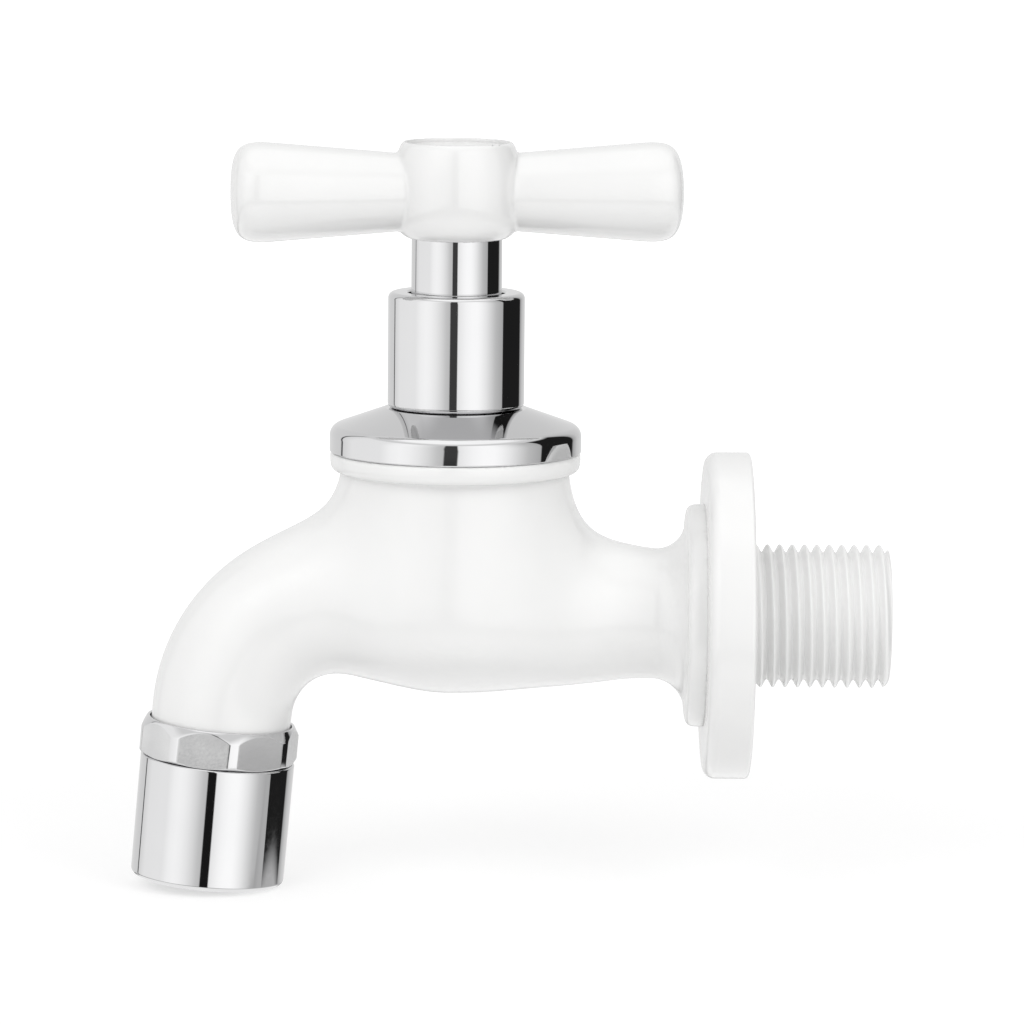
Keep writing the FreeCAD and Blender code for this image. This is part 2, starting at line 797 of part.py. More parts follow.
def make_gland():
    gland = size.gland_radius
    washer = ring("packing_washer", gland, shaft_bore + size.shaft_gap, gland_floor,
                  packing_bottom, on_stem)
    packing = ring("gland_packing", gland, shaft_bore, packing_bottom, packing_top, on_stem)
    stub = ring("gland_nut_stub", gland, shaft_bore, packing_top, gland_nut_top, on_stem)
    corner = corner_radius(6, size.gland_nut_hexagon) - size.hexagon_corner_trim
    blank = ring("gland_nut_blank", corner, shaft_bore, headwork_top, gland_nut_top,
                 on_stem)
    hexagon = faceted("gland_nut_hexagon", blank, 6, size.gland_nut_hexagon,
                      headwork_top, gland_nut_top, on_stem)
    return [washer, packing, fuse("gland_nut", [stub, hexagon])]


def make_bonnet_gasket():
    inner = size.bonnet_thread_radius + size.screw_gap
    outer = size.headwork_hexagon / 2
    return ring("bonnet_gasket", outer, inner, size.cup_top_height, headwork_seat, on_stem)


def make_bonnet_disc():
    """Thin cover: a rim, a rounded shoulder, two cones and a level land under the sleeve."""
    foot, wall = size.cup_top_height, size.disc_wall
    rim = foot + size.disc_rim_height
    shoulder = rim + size.disc_shoulder_height
    shoulder_radius = disc_radius - size.disc_shoulder_width
    cone = foot + size.disc_cone_height
    hole = size.sleeve_bore_radius + size.screw_gap
    bend = dome_radius(size.disc_shoulder_width, size.disc_shoulder_height)
    outline = Outline(disc_radius, foot).line(disc_radius, rim)
    outline.arc(shoulder_radius, shoulder, bend, 1).line(size.disc_cone_radius, cone)
    outline.line(size.disc_land_radius, sleeve_bottom).line(hole, sleeve_bottom)
    outline.line(hole, sleeve_bottom - wall).line(size.disc_cone_radius, cone - wall)
    outline.line(shoulder_radius - wall, shoulder - wall)
    outline.line(disc_radius - wall, rim - wall / 2).line(disc_radius - wall, foot)
    return turned("bonnet_disc", outline, on_stem)


def make_bonnet_sleeve():
    roof = sleeve_top - size.sleeve_top_thickness
    outline = Outline(size.sleeve_bore_radius, sleeve_bottom)
    outline.line(size.sleeve_radius, sleeve_bottom).line(size.sleeve_radius, sleeve_top)
    outline.line(sleeve_hole_radius, sleeve_top).line(sleeve_hole_radius, roof)
    outline.line(size.sleeve_bore_radius, roof)
    sleeve = turned("bonnet_sleeve", outline, on_stem)
    return round_edges(sleeve, size.sleeve_top_round, [(size.sleeve_radius, sleeve_top)])


# Spindle and what turns with it

def make_spindle():
    socket = size.jumper_stem_radius + size.shaft_gap
    socket_top = spindle_bottom + size.spindle_socket_depth
    outline = Outline(0, socket_top).line(socket, socket_top).line(socket, spindle_bottom)
    outline.line(size.spindle_thread_radius, spindle_bottom)
    outline.line(size.spindle_thread_radius, spindle_thread_top)
    outline.line(size.spindle_radius, spindle_thread_top)
    outline.line(size.spindle_radius, spindle_shoulder).line(0, spindle_shoulder)
    shaft = turned("spindle_shaft", outline, on_stem)
    square = block("spindle_square_end", size.spindle_square, size.spindle_square,
                   spindle_shoulder - PAST, spindle_top)
    solid = fuse("spindle_solid", [shaft, square])
    hole = ring("spindle_screw_hole", size.screw_radius + size.screw_gap, 0,
                spindle_top - size.spindle_screw_hole_depth, spindle_top + PAST, on_stem)
    return cut("spindle", solid, hole)


def make_handle():
    tall = hub_top - hub_bottom
    flare = size.hub_radius - (size.hub_bottom_radius + size.hub_rim_radius) / 2
    hub_outline = Outline(0, hub_bottom)
    hub_outline.line(size.hub_bottom_radius, hub_bottom)
    hub_outline.arc(size.hub_rim_radius, hub_top, dome_radius(tall / 2, flare), 1)
    hub_outline.line(0, hub_top)
    hub = turned("handle_hub", hub_outline, on_stem)
    round_edges(hub, size.hub_edge_round, [(size.hub_bottom_radius, hub_bottom)])

    reach, end = size.arm_half_length, size.arm_end_radius
    shoulder = reach - size.arm_dome
    dome = dome_radius(end, size.arm_dome)
    arm_outline = Outline(0, -reach).arc(end, -shoulder, dome, 1)
    arm_outline.line(size.arm_middle_radius, 0).line(end, shoulder).arc(0, reach, dome, 1)
    arms = turned("handle_arms", arm_outline, on_arms)
    round_edges(arms, size.arm_end_round, [(end, -shoulder), (end, shoulder)])
    joined = fuse("handle_joined", [hub, arms])
    blended = blend("handle_blended", joined, size.arm_blend_radius, [(hub, arms)])

    skirt = size.skirt_radius + size.screw_gap
    bolt = size.screw_radius + size.bolt_gap
    hollow = Outline(0, hub_bottom - PAST).line(skirt, hub_bottom - PAST)
    hollow.line(skirt, spindle_shoulder).line(bolt, spindle_shoulder).line(bolt, web_top)
    hollow.line(size.screw_well_radius, web_top).line(size.screw_well_radius, cap_seat)
    hollow.line(size.cap_recess_radius, cap_seat)
    hollow.line(size.cap_recess_radius, hub_top + PAST)
    hollow.line(0, hub_top + PAST)
    hollow = turned("handle_hollow", hollow, on_stem)
    socket_width = size.spindle_square + size.screw_gap * 2
    socket = block("handle_socket", socket_width, socket_width, spindle_shoulder - PAST,
                   spindle_top + size.face_gap)
    return cut("handle", blended, fuse("handle_holes", [hollow, socket]))


def make_handle_skirt():
    top = spindle_shoulder - size.face_gap
    web = top - size.skirt_wall
    inner = size.skirt_radius - size.skirt_wall
    bottom = skirt_bottom
    outline = Outline(inner, bottom).line(size.skirt_radius, bottom).line(size.skirt_radius, top)
    outline.line(shaft_bore, top).line(shaft_bore, web).line(inner, web)
    return turned("handle_skirt", outline, on_stem)


def make_handle_screw():
    washer = ring("screw_washer", size.screw_head_radius, size.screw_radius + size.screw_gap,
                  web_top, screw_seat, on_stem)
    outline = Outline(0, screw_seat - size.screw_length)
    outline.line(size.screw_radius, screw_seat - size.screw_length)
    outline.line(size.screw_radius, screw_seat).line(size.screw_head_radius, screw_seat)
    outline.line(size.screw_head_radius, screw_top).line(0, screw_top)
    blank = turned("screw_blank", outline, on_stem)
    slot = block("screw_slot", size.screw_head_radius * 2 + PAST, size.screw_slot_width,
                 screw_top - size.screw_slot_depth, screw_top + PAST)
    return [washer, cut("handle_screw", blank, slot)]


def make_index_cap():
    """Cap with a shallow dish on top and a plug ring that snaps into the screw well."""
    plug_bottom = cap_seat - size.cap_plug_length
    plug = size.screw_well_radius - size.screw_gap
    plug_bore = plug - size.cap_plug_wall
    outer = size.cap_recess_radius - size.screw_gap
    outline = Outline(plug_bore, plug_bottom).line(plug, plug_bottom).line(plug, cap_seat)
    outline.line(outer, cap_seat).line(outer, cap_top)
    outline.arc(0, cap_top - size.cap_dish_depth, dome_radius(outer, size.cap_dish_depth), -1)
    outline.line(0, cap_seat).line(plug_bore, cap_seat)
    return turned("index_cap", outline, on_stem)


# Valve that the spindle presses on the seat

def make_jumper():
    stud_end = washer_bottom - size.washer_nut_thickness - size.bolt_gap
    stem_top = jumper_top + size.jumper_stem_length
    outline = Outline(0, stud_end).line(size.jumper_stud_radius, stud_end)
    outline.line(size.jumper_stud_radius, jumper_bottom).line(size.jumper_radius, jumper_bottom)
    outline.line(size.jumper_radius, jumper_top).line(size.jumper_stem_radius, jumper_top)
    outline.line(size.jumper_stem_radius, stem_top).line(0, stem_top)
    jumper = turned("jumper_valve", outline, on_stem)
    stud_hole = size.jumper_stud_radius + size.screw_gap
    washer = ring("seat_washer", size.seat_washer_radius, stud_hole, washer_bottom,
                  jumper_bottom, on_stem)
    nut_bottom = washer_bottom - size.washer_nut_thickness
    corner = corner_radius(6, size.washer_nut_across_flats)
    blank = ring("washer_nut_blank", corner, stud_hole, nut_bottom, washer_bottom, on_stem)
    nut = faceted("washer_nut", blank, 6, size.washer_nut_across_flats, nut_bottom,
                  washer_bottom, on_stem)
    return [jumper, washer, nut]


# Nozzle and aerator

def make_nozzle_nut():
    corner, chamfer = nozzle_corner_radius, size.nozzle_corner_chamfer
    outline = Outline(spigot_bore, nut_end).line(corner - chamfer, nut_end)
    outline.line(corner, nut_end + chamfer).line(corner, -chamfer).line(corner - chamfer, 0)
    outline.line(nozzle_mouth_radius, 0).line(nozzle_mouth_radius, -size.spout_entry)
    outline.line(spigot_bore, -size.spout_entry)
    blank = turned("nozzle_nut_blank", outline, on_nozzle)
    return faceted("nozzle_nut", blank, 8, nozzle_across_flats, nut_end, as_size(0),
                   on_nozzle, size.nozzle_turn)


def make_nozzle_shell():
    outline = Outline(spigot_bore, nut_end).line(size.shell_radius, nut_end)
    lip = spigot_bore - size.shell_lip_width
    outline.line(size.shell_radius, shell_end).line(lip, shell_end)
    outline.line(lip, cage_bottom).line(spigot_bore, cage_bottom)
    shell = turned("nozzle_shell", outline, on_nozzle)
    round_edges(shell, size.shell_bottom_round, [(size.shell_radius, shell_end)])
    return round_edges(shell, size.shell_top_round, [(size.shell_radius, nut_end)], "top_round")


def make_aerator():
    washer = ring("nozzle_washer", size.spigot_radius, size.nozzle_washer_bore, cage_top,
                  spigot_end, on_nozzle)
    rim_bottom = cage_top - size.cage_rim_thickness
    outline = Outline(cage_bore_radius, cage_top).line(size.spigot_radius, cage_top)
    ledge = cage_bore_radius - size.cage_ledge_width
    outline.line(size.spigot_radius, rim_bottom).line(cage_radius, rim_bottom)
    outline.line(cage_radius, cage_bottom).line(ledge, cage_bottom)
    outline.line(ledge, grid_bottom).line(cage_bore_radius, grid_bottom)
    cage = turned("aerator_cage", outline, on_nozzle)

    inner = stack_radius - size.spacer_wall
    spacer = ring("screen_spacer", stack_radius, inner, lower_screen_top, spacer_top, on_nozzle)
    grid = ring("outlet_grid", stack_radius, 0, grid_bottom, grid_top, on_nozzle)
    lower = ring("lower_screen", stack_radius, 0, grid_top, lower_screen_top, on_nozzle)
    upper = ring("upper_screen", stack_radius, 0, spacer_top, upper_screen_top, on_nozzle)
    cup = Outline(0, upper_screen_top).line(stack_radius, upper_screen_top)
    cup.line(stack_radius, cage_top).line(inner, cage_top).line(inner, flow_disc_top)
    cup.line(0, flow_disc_top)
    flow = turned("flow_disc", cup, on_nozzle)
    drill_rings(grid, size.grid_hole_radius, size.grid_ring_spacing, inner)
    drill_rings(lower, size.screen_hole_radius, size.screen_ring_spacing, inner)
    drill_rings(upper, size.screen_hole_radius, size.screen_ring_spacing, inner)
    drill_rings(flow, size.flow_hole_radius, size.flow_ring_spacing, inner)
    return [washer, cage, spacer, grid, lower, upper, flow]


# Build, check and write the pieces

def make_pieces():
    pieces = [make_tap_body(), make_wall_flange(), make_headwork(), make_bonnet_gasket()]
    pieces += make_gland()
    pieces += [make_bonnet_disc(), make_bonnet_sleeve(), make_spindle(), make_handle_skirt()]
    pieces += [make_handle(), make_index_cap()]
    pieces += make_handle_screw()
    pieces += make_jumper()
    pieces += [make_nozzle_nut(), make_nozzle_shell()]
    pieces += make_aerator()
    return pieces


def check(pieces):
    for thing in doc.Objects:
        if "Invalid" in thing.State or "Error" in thing.State:
            raise ValueError(f"{thing.Name} failed: {thing.State}")
    for piece in pieces:
        if piece.Shape.isNull() or not piece.Shape.isValid():
            raise ValueError(f"{piece.Label} has no valid shape")
        if len(piece.Shape.Solids) != 1:
            raise ValueError(f"{piece.Label} has {len(piece.Shape.Solids)} solids")


pieces = make_pieces()
doc.recompute()
check(pieces)
os.makedirs("parts", exist_ok=True)
for piece in pieces:
    piece.Shape.exportStep(f"parts/{piece.Label}.step")
    print(piece.Label, round(piece.Shape.Volume, 1))
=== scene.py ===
import json
import math

import bmesh
import bpy
import numpy as np
from mathutils import Matrix, Vector


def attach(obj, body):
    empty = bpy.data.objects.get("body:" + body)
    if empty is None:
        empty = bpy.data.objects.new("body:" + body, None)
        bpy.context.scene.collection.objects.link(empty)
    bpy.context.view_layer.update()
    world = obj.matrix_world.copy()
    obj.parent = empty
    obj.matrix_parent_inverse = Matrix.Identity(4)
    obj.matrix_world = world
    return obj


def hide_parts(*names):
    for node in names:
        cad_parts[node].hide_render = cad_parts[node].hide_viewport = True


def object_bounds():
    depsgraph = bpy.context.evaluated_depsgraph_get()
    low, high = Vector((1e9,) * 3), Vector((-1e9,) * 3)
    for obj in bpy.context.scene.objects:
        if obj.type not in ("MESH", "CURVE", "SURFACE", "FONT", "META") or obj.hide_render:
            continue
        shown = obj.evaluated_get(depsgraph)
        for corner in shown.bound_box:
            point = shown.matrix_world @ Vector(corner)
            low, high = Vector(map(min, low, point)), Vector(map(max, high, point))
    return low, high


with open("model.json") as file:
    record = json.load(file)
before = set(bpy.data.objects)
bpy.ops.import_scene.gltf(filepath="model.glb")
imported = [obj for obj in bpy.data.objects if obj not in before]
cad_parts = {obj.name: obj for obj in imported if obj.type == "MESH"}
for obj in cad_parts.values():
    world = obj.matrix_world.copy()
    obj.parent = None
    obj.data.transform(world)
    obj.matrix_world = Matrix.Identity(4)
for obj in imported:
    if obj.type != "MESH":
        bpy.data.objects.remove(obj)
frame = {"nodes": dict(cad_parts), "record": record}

CAD_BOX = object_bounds()

# Sizes of the tap are in millimetres from the CAD's origin, and its meshes are written in metres.
# The stem, the inlet and the nozzle each have an axis that their pieces are turned about.
MM = 0.001
RECORD = frame["record"]
SLOTS = {row["node"]: row["material_slot"] for row in RECORD["subparts"]}
JOINTS = {row["name"]: row for row in RECORD["behaviour"]["joints"]}
STEM_X = JOINTS["handle_turn"]["pos_m"][0] / MM

# The spout's middle line: level from the stem, then a bend, then straight down the nozzle's axis
SPOUT_Z, SPOUT_REACH, SPOUT_BEND, SPOUT_STRAIGHT = 3.49, 14.49, 19.5, 1.72
NOZZLE_TILT = math.radians(5)
BEND_X, BEND_Z = STEM_X - SPOUT_REACH, SPOUT_Z - SPOUT_BEND
NOZZLE_X = BEND_X - SPOUT_BEND * math.cos(NOZZLE_TILT) - SPOUT_STRAIGHT * math.sin(NOZZLE_TILT)
NOZZLE_Z = BEND_Z + SPOUT_BEND * math.sin(NOZZLE_TILT) - SPOUT_STRAIGHT * math.cos(NOZZLE_TILT)


# Node trees

class Graph:
    """Adds nodes to a tree. An input is a plain value, another node's output or a list of them."""

    def __init__(self, tree):
        self.tree = tree

    def feed(self, node, inputs):
        for key, value in inputs.items():
            for one in value if isinstance(value, list) else [value]:
                if isinstance(one, bpy.types.NodeSocket):
                    self.tree.links.new(one, node.inputs[key])
                else:
                    node.inputs[key].default_value = one

    def node(self, kind, inputs=None, **settings):
        made = self.tree.nodes.new(kind)
        for key, setting in settings.items():
            setattr(made, key, setting)
        self.feed(made, inputs or {})
        return made

    def add(self, kind, inputs=None, **settings):
        """A new node's first output."""
        return self.node(kind, inputs, **settings).outputs[0]

    def maths(self, operation, first, second=0.0):
        return self.add("ShaderNodeMath", {0: first, 1: second}, operation=operation)

    def length(self, vector):
        return self.node("ShaderNodeVectorMath", {0: vector}, operation="LENGTH").outputs["Value"]

    def between(self, value, start, end, first, last):
        """Goes from first to last as the value goes from start to end, and no further."""
        return self.add("ShaderNodeMapRange", {
            "Value": value, "From Min": start, "From Max": end, "To Min": first, "To Max": last})


# Materials

# Nearly all of a noise's values lie between these
NOISE_LOW, NOISE_HIGH = 0.3, 0.7
CLOUD_SCALE = 90


def plain_finish(name, first, second, rough, metal=0.0, grain=900, relief=0.0, coat=0.0,
                 coat_rough=0.04, stretch=(1, 1, 1)):
    """A finish whose colour and gloss vary a little, with a fine relief in metres."""
    material = bpy.data.materials.new(name)
    material.use_nodes = True
    graph = Graph(material.node_tree)
    shader = material.node_tree.nodes["Principled BSDF"]
    place = graph.node("ShaderNodeTexCoord").outputs["Object"]

    def noise(scale, detail, vector):
        return graph.node("ShaderNodeTexNoise", {
            "Scale": scale, "Detail": detail, "Vector": vector}).outputs["Fac"]

    tint = graph.node("ShaderNodeValToRGB", {"Fac": noise(CLOUD_SCALE, 2, place)})
    ends = tint.color_ramp.elements
    ends[0].position, ends[1].position = NOISE_LOW, NOISE_HIGH
    ends[0].color, ends[1].color = (*first, 1), (*second, 1)
    fine = noise(grain, 3, graph.add("ShaderNodeMapping", {"Vector": place, "Scale": stretch}))
    graph.feed(shader, {
        "Base Color": tint.outputs["Color"],
        "Roughness": graph.between(fine, NOISE_LOW, NOISE_HIGH, *rough),
        "Metallic": metal, "Coat Weight": coat, "Coat Roughness": coat_rough})
    if relief:
        bump = graph.add("ShaderNodeBump", {"Height": fine, "Distance": relief, "Strength": 1.0})
        graph.feed(shader, {"Normal": bump})
    return material


WHITE = plain_finish("white_plastic", (0.87, 0.87, 0.865), (0.89, 0.89, 0.885),
                     (0.34, 0.40), grain=700, relief=0.000002, coat=0.7, coat_rough=0.14)
GLOSSY_WHITE = plain_finish("white_gloss_plastic", (0.84, 0.84, 0.835), (0.86, 0.86, 0.855),
                            (0.30, 0.34), grain=700, relief=0.000002, coat=1.0)
CHROME = plain_finish("chrome_mirror", (0.62, 0.62, 0.626), (0.64, 0.64, 0.644),
                      (0.02, 0.045), metal=1.0, grain=1200)
SATIN_CHROME = plain_finish("chrome_milled", (0.52, 0.52, 0.524), (0.66, 0.66, 0.66),
                            (0.16, 0.26), metal=1.0, grain=2600, relief=0.000008)
BRASS = plain_finish("brass_turned", (0.72, 0.55, 0.28), (0.80, 0.63, 0.34),
                     (0.18, 0.34), metal=1.0, grain=900, relief=0.000006, stretch=(1, 1, 9))
RUBBER = plain_finish("rubber_moulded", (0.02, 0.02, 0.02), (0.035, 0.034, 0.033),
                      (0.5, 0.7), grain=1500, relief=0.00002)
AERATOR_PLASTIC = plain_finish("plastic_satin", (0.74, 0.75, 0.76), (0.82, 0.83, 0.84),
                               (0.35, 0.5), grain=1500, relief=0.000008)
STEEL = plain_finish("steel_drawn", (0.56, 0.56, 0.57), (0.68, 0.68, 0.69),
                     (0.18, 0.32), metal=1.0, grain=1500, relief=0.000004)

MATERIALS = {
    "white_plastic": WHITE, "chrome_plate": CHROME, "brass": BRASS, "seal_rubber": RUBBER,
    "aerator_plastic": AERATOR_PLASTIC, "steel": STEEL,
}
for name, node in frame["nodes"].items():
    for slot in node.material_slots:
        slot.material = MATERIALS[SLOTS[name]]


# Meshes

TURN_STEPS = 240
CORNER_STEPS = 7
# Stands in for 0 where something is divided by it
TINY = 1e-20


def shown(name, mesh, body, node):
    """Put a mesh in the scene in place of a CAD node."""
    thing = bpy.data.objects.new(name, mesh)
    bpy.context.scene.collection.objects.link(thing)
    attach(thing, body)
    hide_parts(node)


def piece(name, points, faces, materials, body, node, face_materials=None):
    """A closed mesh from points in millimetres, with its faces turned outwards."""
    points = np.asarray(points, float)
    mesh = bpy.data.meshes.new(name)
    mesh.from_pydata([tuple(point) for point in points * MM], [], [tuple(face) for face in faces])
    shell = bmesh.new()
    shell.from_mesh(mesh)
    if shell.calc_volume(signed=True) < 0:
        bmesh.ops.reverse_faces(shell, faces=shell.faces)
    shell.to_mesh(mesh)
    shell.free()
    for material in materials:
        mesh.materials.append(material)
    if face_materials is not None:
        mesh.polygons.foreach_set("material_index", face_materials)
    mesh.shade_smooth()
    weigh_normals(mesh)
    shown(name, mesh, body, node)


def weigh_normals(mesh):
    """Let large faces set the normals at their corners, so that flats stay flat."""
    count = len(mesh.vertices)
    at = np.empty(count * 3)
    mesh.vertices.foreach_get("co", at)
    at = at.reshape(-1, 3)
    mesh.calc_loop_triangles()
    triangles = np.empty(len(mesh.loop_triangles) * 3, np.int64)
    mesh.loop_triangles.foreach_get("vertices", triangles)
    triangles = triangles.reshape(-1, 3)
    first, second, third = at[triangles[:, 0]], at[triangles[:, 1]], at[triangles[:, 2]]
    facing = np.cross(second - first, third - first)
    normals = np.zeros((count, 3))
    for corner in range(3):
        np.add.at(normals, triangles[:, corner], facing)
    normals /= np.maximum(np.linalg.norm(normals, axis=1), TINY)[:, None]
    mesh.normals_split_custom_set_from_vertices(normals.tolist())


def joined(rows):
    """Faces from each ring of point numbers to the next, and from the last to the first."""
    faces = []
    for low, high in zip(rows, [*rows[1:], rows[0]]):
        for here in range(len(low)):
            beyond = (here + 1) % len(low)
            face = [low[here], low[beyond], high[beyond], high[here]]
            face = [point for number, point in enumerate(face) if point != face[number - 1]]
            if len(face) > 2:
                faces.append(face)
    return faces


def rounded(corners):
    """Points of a closed profile whose corners (radius, height, rounding) get arcs."""
    points = []
    for index, (x, y, radius) in enumerate(corners):
        if radius == 0:
            points.append((x, y))
            continue
        here = Vector((x, y))
        before = (Vector(corners[index - 1][:2]) - here).normalized()
        after = (Vector(corners[(index + 1) % len(corners)][:2]) - here).normalized()
        half = before.angle(after) / 2
        centre = here + (before + after).normalized() * radius / math.sin(half)
        start = here + before * radius / math.tan(half) - centre
        end = here + after * radius / math.tan(half) - centre
        turn = start.angle(end)
        for step in range(CORNER_STEPS + 1):
            share = step / CORNER_STEPS
            mix = start * math.sin((1 - share) * turn) + end * math.sin(share * turn)
            points.append(tuple(centre + mix / math.sin(turn)))
    return points


def turned(name, corners, place, material, body, node):
    """A piece whose profile is turned about its own Z axis, and then put in its place."""
    angles = np.arange(TURN_STEPS) * 2 * math.pi / TURN_STEPS
    points, rows = [], []
    for radius, height in rounded(corners):
        if radius == 0:
            rows.append([len(points)] * TURN_STEPS)
            points.append((0, 0, height))
        else:
            rows.append(list(range(len(points), len(points) + TURN_STEPS)))
            points += [(radius * math.cos(a), radius * math.sin(a), height) for a in angles]
    piece(name, place(np.array(points)), joined(rows), [material], body, node)


def on_stem(points):
    """Own Z axis up the stem, from the inlet's height."""
    return points + np.array([STEM_X, 0, 0])


def on_inlet(points):
    """Own Z axis along the inlet's axis, away from the wall."""
    return np.stack([-points[:, 2], points[:, 1], points[:, 0]], 1)


def on_nozzle(points):
    """Own Z axis up the nozzle's axis, from the end of the spout."""
    c, s = math.cos(NOZZLE_TILT), math.sin(NOZZLE_TILT)
    x, y, z = points.T
    return np.stack([NOZZLE_X + x * c + z * s, y, NOZZLE_Z - x * s + z * c], 1)


# Smooth mouldings, from the distance to their surface, which is below 0 inside

# How often a net's points are pulled onto the surface, at most how far each time as a share of
# the grid's step, and the share of it over which the slope is measured there
PULLS, LONGEST_PULL, PROBE = 3, 1 / 3, 0.05
LEAST_STEEPNESS = 0.25


def length(*parts):
    return np.sqrt(sum(np.square(part) for part in parts))


def melt(first, second, width):
    """Join two shapes so that they flow into each other over a width."""
    near = np.maximum(width - np.abs(first - second), 0) / width
    return np.minimum(first, second) - near ** 3 * width / 6


def keep(first, second, width):
    """What two shapes share, with the edge between them rounded."""
    return -melt(-first, -second, width)


def rod(off_axis, along, radius, start=-np.inf, end=np.inf):
    """A rod or a bore from start to end along its axis, with sharp edges."""
    return np.maximum(off_axis - radius, np.maximum(start - along, along - end))


def net(distance, low, high, step):
    """A point in each cell of a grid that the surface crosses, and faces between them."""
    axes = [np.arange(a, b + step, step) for a, b in zip(low, high)]
    value = distance(*np.meshgrid(*axes, indexing="ij")).astype(np.float32)
    cells = tuple(n - 1 for n in value.shape)
    total = np.zeros((*cells, 3), np.float32)
    count = np.zeros(cells, np.int16)

    def corner(i, j, k):
        return value[i:i + cells[0], j:j + cells[1], k:k + cells[2]]

    for axis in range(3):
        for a, b in ((0, 0), (0, 1), (1, 0), (1, 1)):
            start = [a, b]
            start.insert(axis, 0)
            end = list(start)
            end[axis] = 1
            one, two = corner(*start), corner(*end)
            crossing = (one < 0) != (two < 0)
            share = np.where(crossing, one / np.where(crossing, one - two, 1), 0)
            for other in range(3):
                total[..., other] += np.where(crossing, start[other], 0)
            total[..., axis] += share
            count += crossing
    used = count > 0
    number = np.full(cells, -1, np.int64)
    number[used] = np.arange(used.sum())
    points = np.argwhere(used) + total[used] / count[used][:, None]

    faces = []
    inside = value < 0
    for axis in range(3):
        one = np.moveaxis(inside, axis, 0)[:-1, 1:-1, 1:-1]
        two = np.moveaxis(inside, axis, 0)[1:, 1:-1, 1:-1]
        around = np.moveaxis(number, axis, 0)
        quads = np.stack([around[:, :-1, :-1], around[:, 1:, :-1], around[:, 1:, 1:],
                          around[:, :-1, 1:]], -1)
        outward = quads[one & ~two]
        inward = quads[~one & two][:, ::-1]
        if axis == 1:
            outward, inward = outward[:, ::-1], inward[:, ::-1]
        faces += [outward, inward]
    return np.array(low) + points * step, np.concatenate(faces)


def moulded(name, distance, low, high, step, material, body, node):
    """A piece from the distance to its surface, which lies between two corners of a grid."""
    points, faces = net(distance, low, high, step)
    small = step * PROBE
    longest = step * LONGEST_PULL
    for _ in range(PULLS):
        x, y, z = points.T
        slope = np.stack([
            distance(x + small, y, z) - distance(x - small, y, z),
            distance(x, y + small, z) - distance(x, y - small, z),
            distance(x, y, z + small) - distance(x, y, z - small)], 1) / (2 * small)
        steep = np.maximum((slope ** 2).sum(1), LEAST_STEEPNESS)
        pull = np.clip(distance(x, y, z) / steep, -longest, longest)
        points = points - slope * pull[:, None]
    piece(name, points, faces, [material], body, node)


# Tap body

CUP_RADIUS, CUP_EDGE, CUP_TOP = 16.3, 9.8, 24.0
BELLY_BOTTOM, BELLY_ROUND, BELLY_TOP = -6.23, 80.0, 20.0
NECK_RADIUS, NECK_ROOT, NECK_END_X = 9.39, 9.0, -9.2
NECK_RISE, NECK_RISE_X, NECK_RISE_LENGTH = 0.5, -10, 8
FLARE_X, FLARE_RADIUS = -14.15, 4.8
SPOUT_ROOT, SPOUT_RADIUS = 9.2, 10.2
# Where the spout ends and where its bend begins, up the nozzle's axis
SPOUT_END, SPOUT_BENT = -1.55, 1.6
LIP_RADIUS, LIP_BOTTOM, LIP_ROUND, LIP_TOP_ROUND = 18.25, 21.1, 2.2, 0.7
COLLAR_RADIUS, COLLAR_FRONT_X, COLLAR_BACK_X, COLLAR_ROUND = 16.3, -9.35, -6.4, 2.4
SHANK_RADIUS, SHANK_JOINT_X = 10.4775, -3.0
# How wide each of them flows into the rest of the body
NECK_MELT, SPOUT_MELT, LIP_MELT, COLLAR_MELT = 19.69, 15.13, 0.6, 0.7

# Rods and bores, each with its radius and its start and end along its axis
SHANK_ROOT = (SHANK_RADIUS, -10, SHANK_JOINT_X)
SPIGOT = (9.2, -10, 0)
FEED_BORE = (5.4, -46, -11)
SEAT_BORE = (5.0, 0, 9.5)
CHAMBER_RADIUS, CHAMBER_TOP = 10.0, 15.5
SEAT_RADIUS, SEAT_TOP, CHAMBER_FLOOR = 6.3, 9.0, 7.8
CUP_MOUTH = (11.05, 15.0)
DROP_BORE, DROP_REACH = (4.5, 4.0, 14.0), 12.3
INLET_RADIUS, INLET_END_X, INLET_END_ROUND = 6.5, -12.6, 0.6
SPOUT_BORE_ROOT, SPOUT_BORE_RADIUS, SPOUT_BORE_REACH = 6.2, 6.6, 8.5
BODY_LOW, BODY_HIGH, BODY_STEP = (-89.5, -19.5, -28.5), (-1.0, 19.5, 25.0), 0.45


def up_nozzle(x, z):
    """Height up the nozzle's axis."""
    return (x - NOZZLE_X) * math.sin(NOZZLE_TILT) + (z - NOZZLE_Z) * math.cos(NOZZLE_TILT)


def off_nozzle(x, y, z):
    """Distance from the nozzle's axis."""
    across = (x - NOZZLE_X) * math.cos(NOZZLE_TILT) - (z - NOZZLE_Z) * math.sin(NOZZLE_TILT)
    return length(across, y)


def cup(out, x, y, z):
    """The upright cup round the valve, on a bottom that bulges a little."""
    ball = length(x - STEM_X, y, z - BELLY_BOTTOM - BELLY_ROUND) - BELLY_ROUND
    return keep(out - CUP_RADIUS, np.where(z > BELLY_TOP, -BELLY_ROUND, ball), CUP_EDGE)


